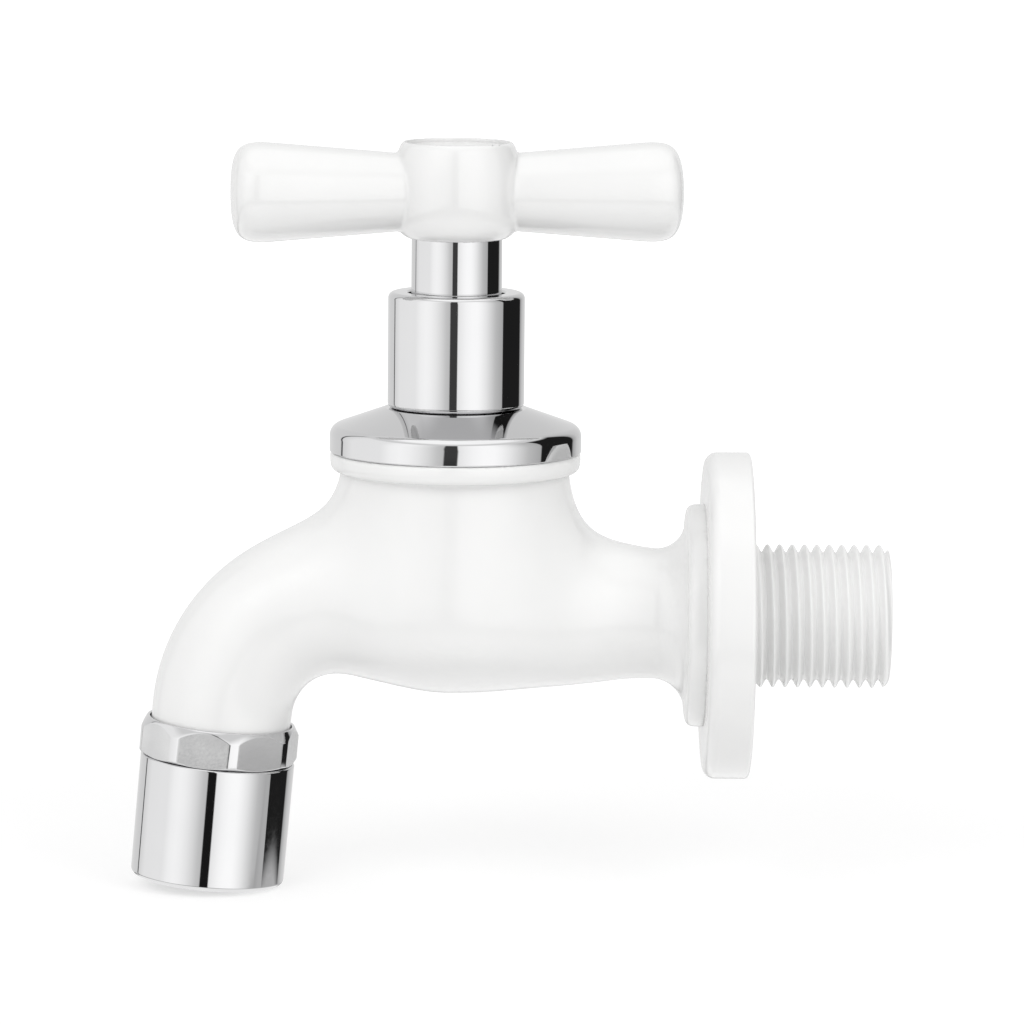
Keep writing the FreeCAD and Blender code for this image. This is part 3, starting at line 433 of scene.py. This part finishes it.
def neck(x, y, z):
    """The level tube from the collar to the cup, flared at the collar."""
    share = np.clip((FLARE_X - x) / (FLARE_X - STEM_X), 0, 1)
    flare = np.sqrt(np.maximum(FLARE_RADIUS ** 2 - np.maximum(x - FLARE_X, 0) ** 2, 0))
    radius = NECK_RADIUS + (NECK_ROOT - NECK_RADIUS) * share + FLARE_RADIUS - flare
    centre = NECK_RISE * np.clip((NECK_RISE_X - x) / NECK_RISE_LENGTH, 0, 1)
    tube = length(np.maximum(STEM_X - x, 0), y, z - centre) - radius
    return np.maximum(tube, x - NECK_END_X)


def spout(x, y, z, root, end):
    """A tube along the spout's line, whose radius changes from root to end on the level."""
    angle = np.arctan2(BEND_X - x, z - BEND_Z)
    angle = np.where(angle < -math.pi / 2, angle + 2 * math.pi, angle)
    angle = np.clip(angle, 0, math.pi / 2 - NOZZLE_TILT)
    bent = length(x - BEND_X + SPOUT_BEND * np.sin(angle), y, z - BEND_Z - SPOUT_BEND * np.cos(angle))
    level = length(np.maximum(x - STEM_X, 0), y, z - SPOUT_Z)
    off = np.where((x > BEND_X) & (z > BEND_Z), level, bent)
    off = np.where(up_nozzle(x, z) < SPOUT_BENT, off_nozzle(x, y, z), off)
    share = np.clip((STEM_X - x) / SPOUT_REACH, 0, 1)
    return off - np.where(x < BEND_X, end, root + (end - root) * (1 - (1 - share) ** 2))


def waterways(out, across, x, y, z):
    """The bores, from the inlet over the seat and down to the spout's end."""
    floor = np.where(out < SEAT_RADIUS, SEAT_TOP, CHAMBER_FLOOR)
    spout_bore = spout(x, y, z, SPOUT_BORE_ROOT, SPOUT_BORE_RADIUS)
    return [
        keep(across - INLET_RADIUS, INLET_END_X - x, INLET_END_ROUND),
        rod(across, x, *FEED_BORE),
        rod(out, z, *SEAT_BORE),
        rod(out, z, CHAMBER_RADIUS, floor, CHAMBER_TOP),
        rod(out, z, *CUP_MOUTH),
        rod(length(x - STEM_X + DROP_REACH, y), z, *DROP_BORE),
        np.maximum(spout_bore, x - STEM_X + SPOUT_BORE_REACH)]


def body_distance(x, y, z):
    """The body without its threaded shank, out from the stem and across from the inlet's axis."""
    out = length(x - STEM_X, y)
    across = length(y, z)
    up = up_nozzle(x, z)
    whole = melt(cup(out, x, y, z), neck(x, y, z), NECK_MELT)
    pipe = np.maximum(spout(x, y, z, SPOUT_ROOT, SPOUT_RADIUS), SPOUT_END - up)
    whole = np.maximum(melt(whole, pipe, SPOUT_MELT), z - CUP_TOP)
    lip = keep(out - LIP_RADIUS, LIP_BOTTOM - z, LIP_ROUND)
    whole = melt(whole, keep(lip, z - CUP_TOP, LIP_TOP_ROUND), LIP_MELT)
    collar = keep(across - COLLAR_RADIUS, COLLAR_FRONT_X - x, COLLAR_ROUND)
    whole = melt(whole, np.maximum(collar, x - COLLAR_BACK_X), COLLAR_MELT)
    whole = np.minimum(whole, rod(across, x, *SHANK_ROOT))
    whole = np.minimum(whole, rod(off_nozzle(x, y, z), up, *SPIGOT))
    for bore in waterways(out, across, x, y, z):
        whole = np.maximum(whole, -bore)
    return whole


moulded("body_moulding", body_distance, BODY_LOW, BODY_HIGH, BODY_STEP, WHITE, "tap", "tap_body")


# Threaded shank of the body

SHANK_LENGTH, SHANK_MOUTH_CHAMFER = 20.4, 0.5
# The shank's end is rounded over a length that is a little less than the round's radius
END_ROUND, END_LENGTH = 1.4, 1.3
THREAD_PITCH, THREAD_DEPTH, THREAD_START_X, THREAD_RUNOUT = 1.814, 1.162, 0.2, 1.6
THREAD_TURN_STEPS, THREAD_PITCH_STEPS = 144, 16


def make_shank():
    """The pipe thread: its crests and roots are rounded, and it runs out at the flange."""
    along = np.arange(SHANK_JOINT_X, SHANK_LENGTH, THREAD_PITCH / THREAD_PITCH_STEPS)
    angle = np.arange(THREAD_TURN_STEPS) * 2 * math.pi / THREAD_TURN_STEPS
    x, turn = np.meshgrid(np.append(along, SHANK_LENGTH), angle, indexing="ij")
    depth = THREAD_DEPTH * np.clip((x - THREAD_START_X) / THREAD_RUNOUT, 0, 1)
    phase = 2 * math.pi * (x - SHANK_LENGTH) / THREAD_PITCH - turn
    radius = SHANK_RADIUS - depth * (0.5 - 0.5 * np.cos(phase))
    end = np.maximum(x - SHANK_LENGTH + END_LENGTH, 0)
    end = np.sqrt(np.maximum(END_ROUND ** 2 - end ** 2, 0))
    radius = np.minimum(radius, SHANK_RADIUS - END_ROUND + end)
    bore = [(SHANK_LENGTH, INLET_RADIUS + SHANK_MOUTH_CHAMFER),
            (SHANK_LENGTH - SHANK_MOUTH_CHAMFER, INLET_RADIUS), (SHANK_JOINT_X, INLET_RADIUS)]
    for bore_x, bore_radius in bore:
        x = np.vstack([x, np.full(THREAD_TURN_STEPS, bore_x)])
        radius = np.vstack([radius, np.full(THREAD_TURN_STEPS, bore_radius)])
        turn = np.vstack([turn, angle])
    points = np.stack([x, radius * np.cos(turn), radius * np.sin(turn)], -1).reshape(-1, 3)
    faces = joined(np.arange(x.size).reshape(x.shape))
    piece("threaded_shank", points, faces, [WHITE], "tap", "tap_body")


make_shank()


# Wall flange, bonnet, skirt and nozzle tube, as profiles of radius, height and rounding

turned("wall_flange_disc", [
    (10.6, 0, 0.2), (13.4, 0, 0.3), (13.4, 3.6, 0.4), (21.3, 3.6, 0.4), (21.3, 0, 0.3),
    (23.9, 0, 0.6), (23.9, 6.65, 1.8), (10.6, 6.65, 0.2)],
    on_inlet, WHITE, "tap", "wall_flange")
turned("bonnet_cover", [
    (8.35, 29.5, 0.2), (12.6, 28.6, 0.4), (15.9, 27.0, 0.5), (17.3, 25.9, 0.3), (17.3, 24, 0.2),
    (18.35, 24, 0.2), (18.35, 27.5, 1.7), (10.3, 30.4, 0.4), (8.35, 30.4, 0.2)],
    on_stem, CHROME, "tap", "bonnet_disc")
turned("bonnet_tube", [
    (8.3, 30.4, 0.15), (9.95, 30.4, 0.8), (9.95, 47.3, 0.9), (7.05, 47.3, 0.35),
    (7.05, 45.6, 0.2), (8.3, 45.6, 0.3)],
    on_stem, CHROME, "tap", "bonnet_sleeve")
turned("skirt_tube", [
    (5.67, 41.5, 0.2), (6.6, 41.5, 0.3), (6.6, 57.45, 0.3), (4.06, 57.45, 0.2),
    (4.06, 56.45, 0.2), (5.67, 56.45, 0.2)],
    on_stem, CHROME, "handle_group", "handle_skirt")
turned("nozzle_tube", [
    (9.25, -5.6, 0.15), (11.29, -5.6, 0.3), (11.24, -23.51, 0.7), (8.6, -23.51, 0.4),
    (8.6, -22.3, 0.2), (9.25, -22.3, 0.2)],
    on_nozzle, CHROME, "tap", "nozzle_shell")


# Nozzle nut

NUT_SIDES, NUT_FLAT_STEPS, NUT_CORNER_STEPS = 8, 30, 4
# Radius to the flats and to the corners
NUT_HALF, NUT_CORNER = 11.0, 11.65
NUT_LENGTH, NUT_TURN = 5.6, math.radians(35)
NUT_BORE, NUT_MOUTH, NUT_MOUTH_DEPTH, NUT_TOP_STEP, NUT_UNDERCUT = 9.5, 10.4, 1.2, 0.05, 0.02
# Radius at which each chamfer begins, and its height at the corners
NUT_TOP_EDGE, NUT_TOP_DROP = 10.8, 1.5
NUT_BOTTOM_EDGE, NUT_BOTTOM_DROP = 10.9, 0.5
# Bevel along every edge, and the most of a narrow face that it takes
NUT_BEVEL, NUT_BEVEL_SHARE = 0.09, 0.3


def make_nozzle_nut():
    """The octagon collar: its chamfered ends are turned, so that each flat gets arched edges."""
    side = 2 * math.pi / NUT_SIDES
    strip = math.acos(NUT_HALF / NUT_CORNER)
    flat = np.linspace(-strip, strip, NUT_FLAT_STEPS)
    corner = np.linspace(strip, side - strip, NUT_CORNER_STEPS + 2)[1:-1]
    local = np.concatenate([flat, corner])
    angle = np.concatenate([local + number * side for number in range(NUT_SIDES)])
    on_flat = np.tile(np.arange(len(local)) < NUT_FLAT_STEPS, NUT_SIDES)
    local = np.tile(local, NUT_SIDES)
    radius = np.where(on_flat, NUT_HALF / np.cos(np.where(on_flat, local, 0)), NUT_CORNER)
    top = -NUT_TOP_DROP * (radius - NUT_TOP_EDGE) / (NUT_CORNER - NUT_TOP_EDGE)
    bottom = NUT_BOTTOM_DROP * (radius - NUT_BOTTOM_EDGE) / (NUT_CORNER - NUT_BOTTOM_EDGE)
    underside = -NUT_LENGTH + NUT_UNDERCUT
    # Radius, height, and whether the faces up to the next row are left bright
    rows = [(NUT_BORE, underside, True), (NUT_BOTTOM_EDGE, underside, True),
            (radius, bottom - NUT_LENGTH, False), (radius, top, True), (NUT_TOP_EDGE, 0, True),
            (NUT_MOUTH, -NUT_TOP_STEP, True), (NUT_MOUTH, -NUT_MOUTH_DEPTH, True),
            (NUT_BORE, -NUT_MOUTH_DEPTH, True)]
    around = np.ones(len(angle))
    soft, bright = [], []
    for number, (across, up, shine) in enumerate(rows):
        before, after = rows[number - 1], rows[(number + 1) % len(rows)]
        for other in (before, after):
            apart = np.maximum(length(across - other[0], up - other[1]), TINY) * around
            share = np.minimum(NUT_BEVEL / apart, NUT_BEVEL_SHARE)
            soft.append((across + (other[0] - across) * share, up + (other[1] - up) * share))
        bright += [True, shine]
    turn = angle + NUT_TURN
    points = np.concatenate([
        np.stack([across * np.cos(turn), across * np.sin(turn), up * around], -1)
        for across, up in soft])
    faces = joined(np.arange(len(points)).reshape(len(soft), -1))
    between_flats = on_flat & np.roll(on_flat, -1)
    milled = np.concatenate([between_flats & (not shine) for shine in bright])
    piece("nozzle_octagon", on_nozzle(points), faces, [CHROME, SATIN_CHROME], "tap",
          "nozzle_nut", milled.astype(int))


make_nozzle_nut()


# Aerator, seen from below: woven screens and a honeycomb outlet, made by Geometry Nodes

SCREEN_RADIUS = 7.65
RING_STEPS, WIRE_SIDES = 96, 8
# Height of one layer of wires above the other, in radii of a wire
LAYER_RISE = 1.6
COMB_COLUMNS, COMB_ROWS, COMB_RIM_WIDTH = 11, 7, 1.2
# How far the outermost cells' middles stay inside the outlet's radius, in cells
COMB_MARGIN = 1.2
# Heights in the nozzle
SCREEN_HEIGHTS = {"lower_screen": -18.85, "upper_screen": -16.35}
OUTLET_HEIGHT = -20.25


class Tree(Graph):
    """A Geometry Nodes tree with named inputs."""

    def __init__(self, name, inputs):
        super().__init__(bpy.data.node_groups.new(name, "GeometryNodeTree"))
        sockets = self.tree.interface
        sockets.new_socket("Geometry", in_out="OUTPUT", socket_type="NodeSocketGeometry")
        for label, kind in inputs.items():
            sockets.new_socket(label, in_out="INPUT", socket_type="NodeSocket" + kind)
        self.given = self.node("NodeGroupInput").outputs

    def vector(self, x=0.0, y=0.0, z=0.0):
        return self.add("ShaderNodeCombineXYZ", {"X": x, "Y": y, "Z": z})

    def ring(self, radius, section):
        circle = self.add("GeometryNodeCurvePrimitiveCircle",
                          {"Resolution": RING_STEPS, "Radius": radius})
        return self.add("GeometryNodeCurveToMesh", {"Curve": circle, "Profile Curve": section})

    def finish(self, parts):
        whole = self.add("GeometryNodeJoinGeometry", {"Geometry": parts})
        real = self.add("GeometryNodeRealizeInstances", {"Geometry": whole})
        done = self.add("GeometryNodeSetMaterial",
                        {"Geometry": real, "Material": self.given["Material"]})
        self.node("NodeGroupOutput", {"Geometry": done})
        return self.tree


def woven_screen_tree():
    """Wires side by side in two layers, cut off at the radius, in a round rim."""
    tree = Tree("woven_screen", {"Radius": "Float", "Spacing": "Float", "Wire": "Float",
                                 "Count": "Int", "Material": "Material"})
    radius, spacing = tree.given["Radius"], tree.given["Spacing"]
    wire, count = tree.given["Wire"], tree.given["Count"]
    section = tree.add("GeometryNodeCurvePrimitiveCircle", {"Resolution": WIRE_SIDES, "Radius": wire})
    line = tree.add("GeometryNodeCurvePrimitiveLine", {"Start": (-1, 0, 0), "End": (1, 0, 0)})
    one_wire = tree.add("GeometryNodeCurveToMesh",
                        {"Curve": line, "Profile Curve": section, "Fill Caps": True})
    first = tree.maths("MULTIPLY", tree.maths("SUBTRACT", count, 1),
                       tree.maths("MULTIPLY", spacing, -0.5))
    row = tree.add("GeometryNodeMeshLine", {
        "Count": count, "Start Location": tree.vector(y=first), "Offset": tree.vector(y=spacing)})
    place = tree.node("ShaderNodeSeparateXYZ", {0: tree.add("GeometryNodeInputPosition")})
    off = place.outputs["Y"]
    reach = tree.maths("SQRT", tree.maths(
        "SUBTRACT", tree.maths("MULTIPLY", radius, radius), tree.maths("MULTIPLY", off, off)))
    layer = tree.add("GeometryNodeInstanceOnPoints", {
        "Points": row, "Instance": one_wire, "Scale": tree.vector(reach, 1.0, 1.0)})
    crossing = tree.add("GeometryNodeTransform", {
        "Geometry": layer, "Rotation": (0, 0, math.pi / 2),
        "Translation": tree.vector(z=tree.maths("MULTIPLY", wire, LAYER_RISE))})
    rim = tree.ring(tree.maths("SUBTRACT", radius, wire), section)
    return tree.finish([layer, crossing, rim])


def honeycomb_tree():
    """Six-sided tubes side by side inside a round rim."""
    tree = Tree("honeycomb_outlet", {"Radius": "Float", "Cell": "Float", "Wall": "Float",
                                     "Height": "Float", "Material": "Material"})
    radius, cell = tree.given["Radius"], tree.given["Cell"]
    wall, height = tree.given["Wall"], tree.given["Height"]
    step = tree.maths("MULTIPLY", cell, math.sqrt(3))
    lattices = []
    for shift in (0.0, 0.5):
        lattice = tree.add("GeometryNodeMeshGrid", {
            "Size X": tree.maths("MULTIPLY", step, COMB_COLUMNS - 1), "Vertices X": COMB_COLUMNS,
            "Size Y": tree.maths("MULTIPLY", cell, 3 * (COMB_ROWS - 1)), "Vertices Y": COMB_ROWS})
        lattices.append(tree.add("GeometryNodeTransform", {
            "Geometry": lattice,
            "Translation": tree.vector(x=tree.maths("MULTIPLY", step, shift),
                                       y=tree.maths("MULTIPLY", cell, 3 * shift))}))
    points = tree.add("GeometryNodeJoinGeometry", {"Geometry": lattices})
    limit = tree.maths("SUBTRACT", radius, tree.maths("MULTIPLY", cell, COMB_MARGIN))
    outside = tree.add("FunctionNodeCompare", {
        0: tree.length(tree.add("GeometryNodeInputPosition")), 1: limit},
        data_type="FLOAT", operation="GREATER_THAN")
    points = tree.add("GeometryNodeDeleteGeometry", {"Geometry": points, "Selection": outside},
                      domain="POINT")
    hexagon = tree.add("GeometryNodeCurvePrimitiveCircle", {"Resolution": 6, "Radius": cell})
    hexagon = tree.add("GeometryNodeTransform", {
        "Geometry": hexagon, "Rotation": (0, 0, math.pi / 6)})
    section = tree.add("GeometryNodeCurvePrimitiveQuadrilateral", {"Width": wall, "Height": height})
    tube = tree.add("GeometryNodeCurveToMesh", {"Curve": hexagon, "Profile Curve": section})
    comb = tree.add("GeometryNodeInstanceOnPoints", {"Points": points, "Instance": tube})
    rim_section = tree.add("GeometryNodeCurvePrimitiveQuadrilateral",
                           {"Width": COMB_RIM_WIDTH, "Height": height})
    rim = tree.ring(tree.maths("SUBTRACT", radius, COMB_RIM_WIDTH / 2), rim_section)
    return tree.finish([comb, rim])


def grown(name, group, sizes, up, node):
    """A piece from a tree's result, in millimetres, raised to its height in the nozzle."""
    maker = bpy.data.objects.new(name + "_maker", bpy.data.meshes.new(name + "_maker"))
    bpy.context.scene.collection.objects.link(maker)
    modifier = maker.modifiers.new("nodes", "NODES")
    modifier.node_group = group
    given = {**sizes, "Radius": SCREEN_RADIUS, "Material": MATERIALS[SLOTS[node]]}
    for item in group.interface.items_tree:
        if item.in_out == "INPUT":
            modifier[item.identifier] = given[item.name]
    bpy.context.view_layer.update()
    made = maker.evaluated_get(bpy.context.evaluated_depsgraph_get())
    mesh = bpy.data.meshes.new_from_object(made)
    maker.modifiers.clear()
    bpy.data.objects.remove(maker)
    at = np.empty(len(mesh.vertices) * 3)
    mesh.vertices.foreach_get("co", at)
    at = on_nozzle(at.reshape(-1, 3) + np.array([0, 0, up])) * MM
    mesh.vertices.foreach_set("co", at.ravel())
    mesh.update()
    shown(name, mesh, "tap", node)


woven = woven_screen_tree()
for screen, up in SCREEN_HEIGHTS.items():
    grown("woven_" + screen, woven, {"Spacing": 0.8, "Wire": 0.14, "Count": 18}, up, screen)
grown("honeycomb_outlet", honeycomb_tree(), {"Cell": 1.0, "Wall": 0.35, "Height": 2.5},
      OUTLET_HEIGHT, "outlet_grid")


# Handle

HUB_RADIUS, HUB_CURVE, HUB_MIDDLE = 9.5, 0.0264, 61.9
HUB_BOTTOM, HUB_BOTTOM_ROUND, HUB_TOP, HUB_TOP_ROUND = 54.8, 4.2, 69.3, 1.6
ARM_Z, ARM_TURN, ARM_HALF_LENGTH = 61.8, math.radians(5.5), 32.85
ARM_RADIUS, ARM_FLARE, ARM_FLARE_LENGTH = 5.0, 2.6, 32.25
ARM_DOME, ARM_DOME_START, ARM_END_ROUND, ARM_MELT = 46.0, 20, 6.0, 0.7
# Holes, each with its radius, or half its side, and its start and end up the stem
CAP_RECESS, CAP_RECESS_ROUND = (7.6, 67.3), 0.3
SCREW_WELL = (6.0, 65.2)
SKIRT_SEAT = (6.72, -np.inf, 57.5)
SCREW_HOLE = (2.15, 57, 66)
SQUARE_SOCKET = (2.85, 57, 62.85)
HANDLE_LOW, HANDLE_HIGH, HANDLE_STEP = (-76.5, -11.6, 54.0), (-9.7, 11.6, 70.0), 0.25


def handle_distance(x, y, z):
    """The hub, which bulges like a barrel, and an arm to each side that grows towards its end."""
    out = length(x - STEM_X, y)
    hub = out - (HUB_RADIUS - HUB_CURVE * (z - HUB_MIDDLE) ** 2)
    hub = keep(hub, HUB_BOTTOM - z, HUB_BOTTOM_ROUND)
    hub = keep(hub, z - HUB_TOP, HUB_TOP_ROUND)
    c, s = math.cos(ARM_TURN), math.sin(ARM_TURN)
    along = np.abs((x - STEM_X) * c + y * s)
    across = y * c - (x - STEM_X) * s
    arm = length(across, z - ARM_Z) - (ARM_RADIUS + ARM_FLARE * along / ARM_FLARE_LENGTH)
    dome = length(along - ARM_HALF_LENGTH + ARM_DOME, across, z - ARM_Z) - ARM_DOME
    arm = keep(arm, np.where(along > ARM_DOME_START, dome, -ARM_DOME_START), ARM_END_ROUND)
    whole = melt(hub, arm, ARM_MELT)
    whole = keep(whole, -rod(out, z, *CAP_RECESS), CAP_RECESS_ROUND)
    for hole in (SCREW_WELL, SKIRT_SEAT, SCREW_HOLE):
        whole = np.maximum(whole, -rod(out, z, *hole))
    return np.maximum(whole, -rod(np.maximum(np.abs(x - STEM_X), np.abs(y)), z, *SQUARE_SOCKET))


moulded("handle_moulding", handle_distance, HANDLE_LOW, HANDLE_HIGH, HANDLE_STEP,
        GLOSSY_WHITE, "handle_group", "handle")
turned("index_button", [
    (5.05, 66.4, 0.15), (5.95, 66.4, 0.15), (5.95, 67.3, 0.1), (7.55, 67.3, 0.15),
    (7.55, 68.6, 0.45), (6.4, 68.45, 2.0), (3.4, 68.15, 6.0), (0, 68.1, 0), (0, 67.3, 0),
    (5.05, 67.3, 0.15)],
    on_stem, GLOSSY_WHITE, "handle_group", "index_cap")


# Floor, in metres

FLOOR_RADIUS, FLOOR_GAP, FLOOR_GREY, FLOOR_GLOW = 6, 0.0001, 0.86, 1.24
# Near the tap the glow has a share of the floor, and further off it has all of it
NEAR, FAR, NEAR_GLOW = 0.1, 0.4, 0.5


def add_floor():
    """A plain pale floor. Mirrors see the studio through it. The camera sees its shadows near
    the tap, and sees it turn white further off."""
    bpy.ops.mesh.primitive_circle_add(
        vertices=RING_STEPS, radius=FLOOR_RADIUS, fill_type="NGON",
        location=(STEM_X * MM, 0, CAD_BOX[0].z - FLOOR_GAP))
    floor = bpy.context.object
    floor.name = "floor"
    material = bpy.data.materials.new("pale_floor")
    material.use_nodes = True
    material.node_tree.nodes.clear()
    graph = Graph(material.node_tree)
    ray = graph.node("ShaderNodeLightPath").outputs
    away = graph.length(graph.node("ShaderNodeTexCoord").outputs["Object"])
    glow = graph.maths("MULTIPLY", ray["Is Camera Ray"],
                       graph.between(away, NEAR, FAR, NEAR_GLOW, 1))
    paper = graph.add("ShaderNodeBsdfDiffuse", {"Color": (FLOOR_GREY, FLOOR_GREY, FLOOR_GREY, 1)})
    white = graph.add("ShaderNodeEmission", {"Strength": FLOOR_GLOW})
    seen = graph.add("ShaderNodeMixShader", {"Fac": glow, 1: paper, 2: white})
    clear = graph.add("ShaderNodeBsdfTransparent")
    whole = graph.add("ShaderNodeMixShader", {"Fac": ray["Is Glossy Ray"], 1: seen, 2: clear})
    graph.node("ShaderNodeOutputMaterial", {"Surface": whole})
    floor.data.materials.append(material)


# Studio that the chrome mirrors. Turns are in degrees from the camera's side, to the right seen
# from the camera. Heights are sines of the angle above the horizon.

# Turn and brightness: soft boxes at both sides, with dark gaps between them
STUDIO_WALLS = [
    (-180, 0.56), (-129.5, 0.60), (-128.5, 0.03), (-126.5, 0.03), (-125.5, 0.64), (-110, 0.78),
    (-84, 0.80), (-73, 0.80), (-62, 0.90), (-52, 0.93), (-43, 0.90), (-34, 0.82), (-25, 0.70),
    (-17, 0.56), (-10.5, 0.50), (-10, 0.009), (1.5, 0.009), (2, 0.80), (8, 0.87), (16, 0.95),
    (26, 1.0), (36, 1.0), (43, 0.94), (52, 0.82), (60, 0.68), (70, 0.51), (85, 0.39),
    (85.5, 0.012), (134, 0.012), (137, 0.36), (148, 0.52), (180, 0.56),
]
# Each row below has a start and an end, as turns or heights, and the values at them

# Roof: how it takes over from the walls, and how it gets brighter overhead
ROOF_EDGE = (0.66, 0.72, 0, 1)
ROOF_LIGHT = (0.80, 0.90, 0.62, 0.95)
# Dark slit in front: paler higher up
SLIT_TURN, SLIT_HALF, SLIT_LIGHT = -4.25, 6, (-0.17, -0.12, 0, 0.035)
# Height of the walls' foot: a fall from the front to the right, with steps up and down added
FOOT_FALL = (0, 50, -0.315, -0.372)
FOOT_STEPS = ((-60, -20, 0, 0.08), (76, 85, 0, 0.024), (91, 92, 0, -0.0245), (93, 134, 0, 0.0235))
FOOT_EDGE = (-0.003, 0.003, 0, 1)
# Ground: dark in front, paler to the right and below the tap
GROUND_LIGHT, BELOW_LIGHT = (50, 85, 0.15, 0.42), (-0.34, -0.46, 0.15, 0.8)
MIRROR_STRENGTH, DOME_STRENGTH = 1.5, 0.77
WHITE_LIGHT = (1, 1, 1, 1)


def round_share(degrees):
    """A turn as a share of the whole round, which starts behind the tap."""
    return 0.5 + degrees / 360


def studio_colour(graph):
    """What a mirror sees of the studio: its walls, its roof and the ground below them."""
    direction = graph.node("ShaderNodeTexCoord").outputs["Generated"]
    x, y, z = graph.node("ShaderNodeSeparateXYZ", {0: direction}).outputs
    turn = graph.maths("ARCTAN2", x, graph.maths("MULTIPLY", y, -1.0))
    turn = graph.maths("ADD", graph.maths("DIVIDE", turn, 2 * math.pi), 0.5)

    def by_turn(start, end, first, last):
        return graph.between(turn, round_share(start), round_share(end), first, last)

    def mixed(factor, first, second):
        return graph.node("ShaderNodeMix", {"Factor": factor, 6: first, 7: second},
                          data_type="RGBA").outputs[2]

    walls = graph.node("ShaderNodeValToRGB", {"Fac": turn})
    stops = walls.color_ramp.elements
    while len(stops) < len(STUDIO_WALLS):
        stops.new(0.5)
    for stop, (degrees, bright) in zip(stops, STUDIO_WALLS):
        stop.position = round_share(degrees)
        stop.color = (bright, bright, bright, 1)
    off_slit = graph.maths("ABSOLUTE", graph.maths("SUBTRACT", turn, round_share(SLIT_TURN)))
    paler = graph.maths("MULTIPLY", graph.between(z, *SLIT_LIGHT),
                        graph.maths("LESS_THAN", off_slit, SLIT_HALF / 360))
    walls = graph.maths("ADD", walls.outputs["Color"], paler)
    above = mixed(graph.between(z, *ROOF_EDGE), walls, graph.between(z, *ROOF_LIGHT))

    foot = by_turn(*FOOT_FALL)
    for step in FOOT_STEPS:
        foot = graph.maths("ADD", foot, by_turn(*step))
    on_wall = graph.between(graph.maths("SUBTRACT", z, foot), *FOOT_EDGE)
    ground = graph.maths("MAXIMUM", by_turn(*GROUND_LIGHT), graph.between(z, *BELOW_LIGHT))
    return mixed(on_wall, ground, above)


def add_studio():
    """Mirrors see the studio, the camera a white backdrop, and all else an even white dome."""
    world = bpy.data.worlds.new("studio")
    bpy.context.scene.world = world
    world.use_nodes = True
    world.node_tree.nodes.clear()
    graph = Graph(world.node_tree)
    mirrored = graph.add("ShaderNodeBackground", {
        "Color": studio_colour(graph), "Strength": MIRROR_STRENGTH})
    dome = graph.add("ShaderNodeBackground", {"Color": WHITE_LIGHT, "Strength": DOME_STRENGTH})
    backdrop = graph.add("ShaderNodeBackground", {"Color": WHITE_LIGHT})
    ray = graph.node("ShaderNodeLightPath").outputs
    light = graph.add("ShaderNodeMixShader", {"Fac": ray["Is Glossy Ray"], 1: dome, 2: mirrored})
    light = graph.add("ShaderNodeMixShader", {"Fac": ray["Is Camera Ray"], 1: light, 2: backdrop})
    graph.node("ShaderNodeOutputWorld", {"Surface": light})


# Lamps and camera, in metres

LAMP_SIDE = 0.5
LAMPS = {"key_lamp": ((-0.45, -0.62, 0.6), 1.68), "side_lamp": ((0.5, -0.62, 0.6), 1.85)}
LAMP_AIM = Vector((STEM_X * MM, 0, 0.02))
CAMERA_PLACE = (-0.04360, -0.84262, 0.13348)
CAMERA_PAN, CAMERA_PITCH, CAMERA_ROLL = math.radians(-0.6), math.radians(82), math.radians(0.5)
CAMERA_LENS, CAMERA_SENSOR = 204.93, 36


def add_lamp(name, place, power):
    """A square soft box aimed at the tap, which mirrors don't see."""
    data = bpy.data.lights.new(name, "AREA")
    data.shape = "SQUARE"
    data.size = LAMP_SIDE
    data.energy = power
    lamp = bpy.data.objects.new(name, data)
    lamp.location = place
    lamp.rotation_euler = (LAMP_AIM - Vector(place)).to_track_quat("-Z", "Y").to_euler()
    lamp.visible_glossy = False
    bpy.context.scene.collection.objects.link(lamp)


def add_camera():
    """The photograph's viewing angle: 8 degrees down, from 0.85 metres."""
    data = bpy.data.cameras.new("camera")
    data.lens = CAMERA_LENS
    data.sensor_width = CAMERA_SENSOR
    camera = bpy.data.objects.new("camera", data)
    turn = (Matrix.Rotation(CAMERA_PAN, 4, "Z") @ Matrix.Rotation(CAMERA_PITCH, 4, "X")
            @ Matrix.Rotation(CAMERA_ROLL, 4, "Z"))
    camera.matrix_world = Matrix.Translation(CAMERA_PLACE) @ turn
    bpy.context.scene.collection.objects.link(camera)
    bpy.context.scene.camera = camera


add_floor()
add_studio()
for name, (place, power) in LAMPS.items():
    add_lamp(name, place, power)
add_camera()
bpy.context.scene.view_settings.view_transform = "Standard"

bpy.context.view_layer.update()
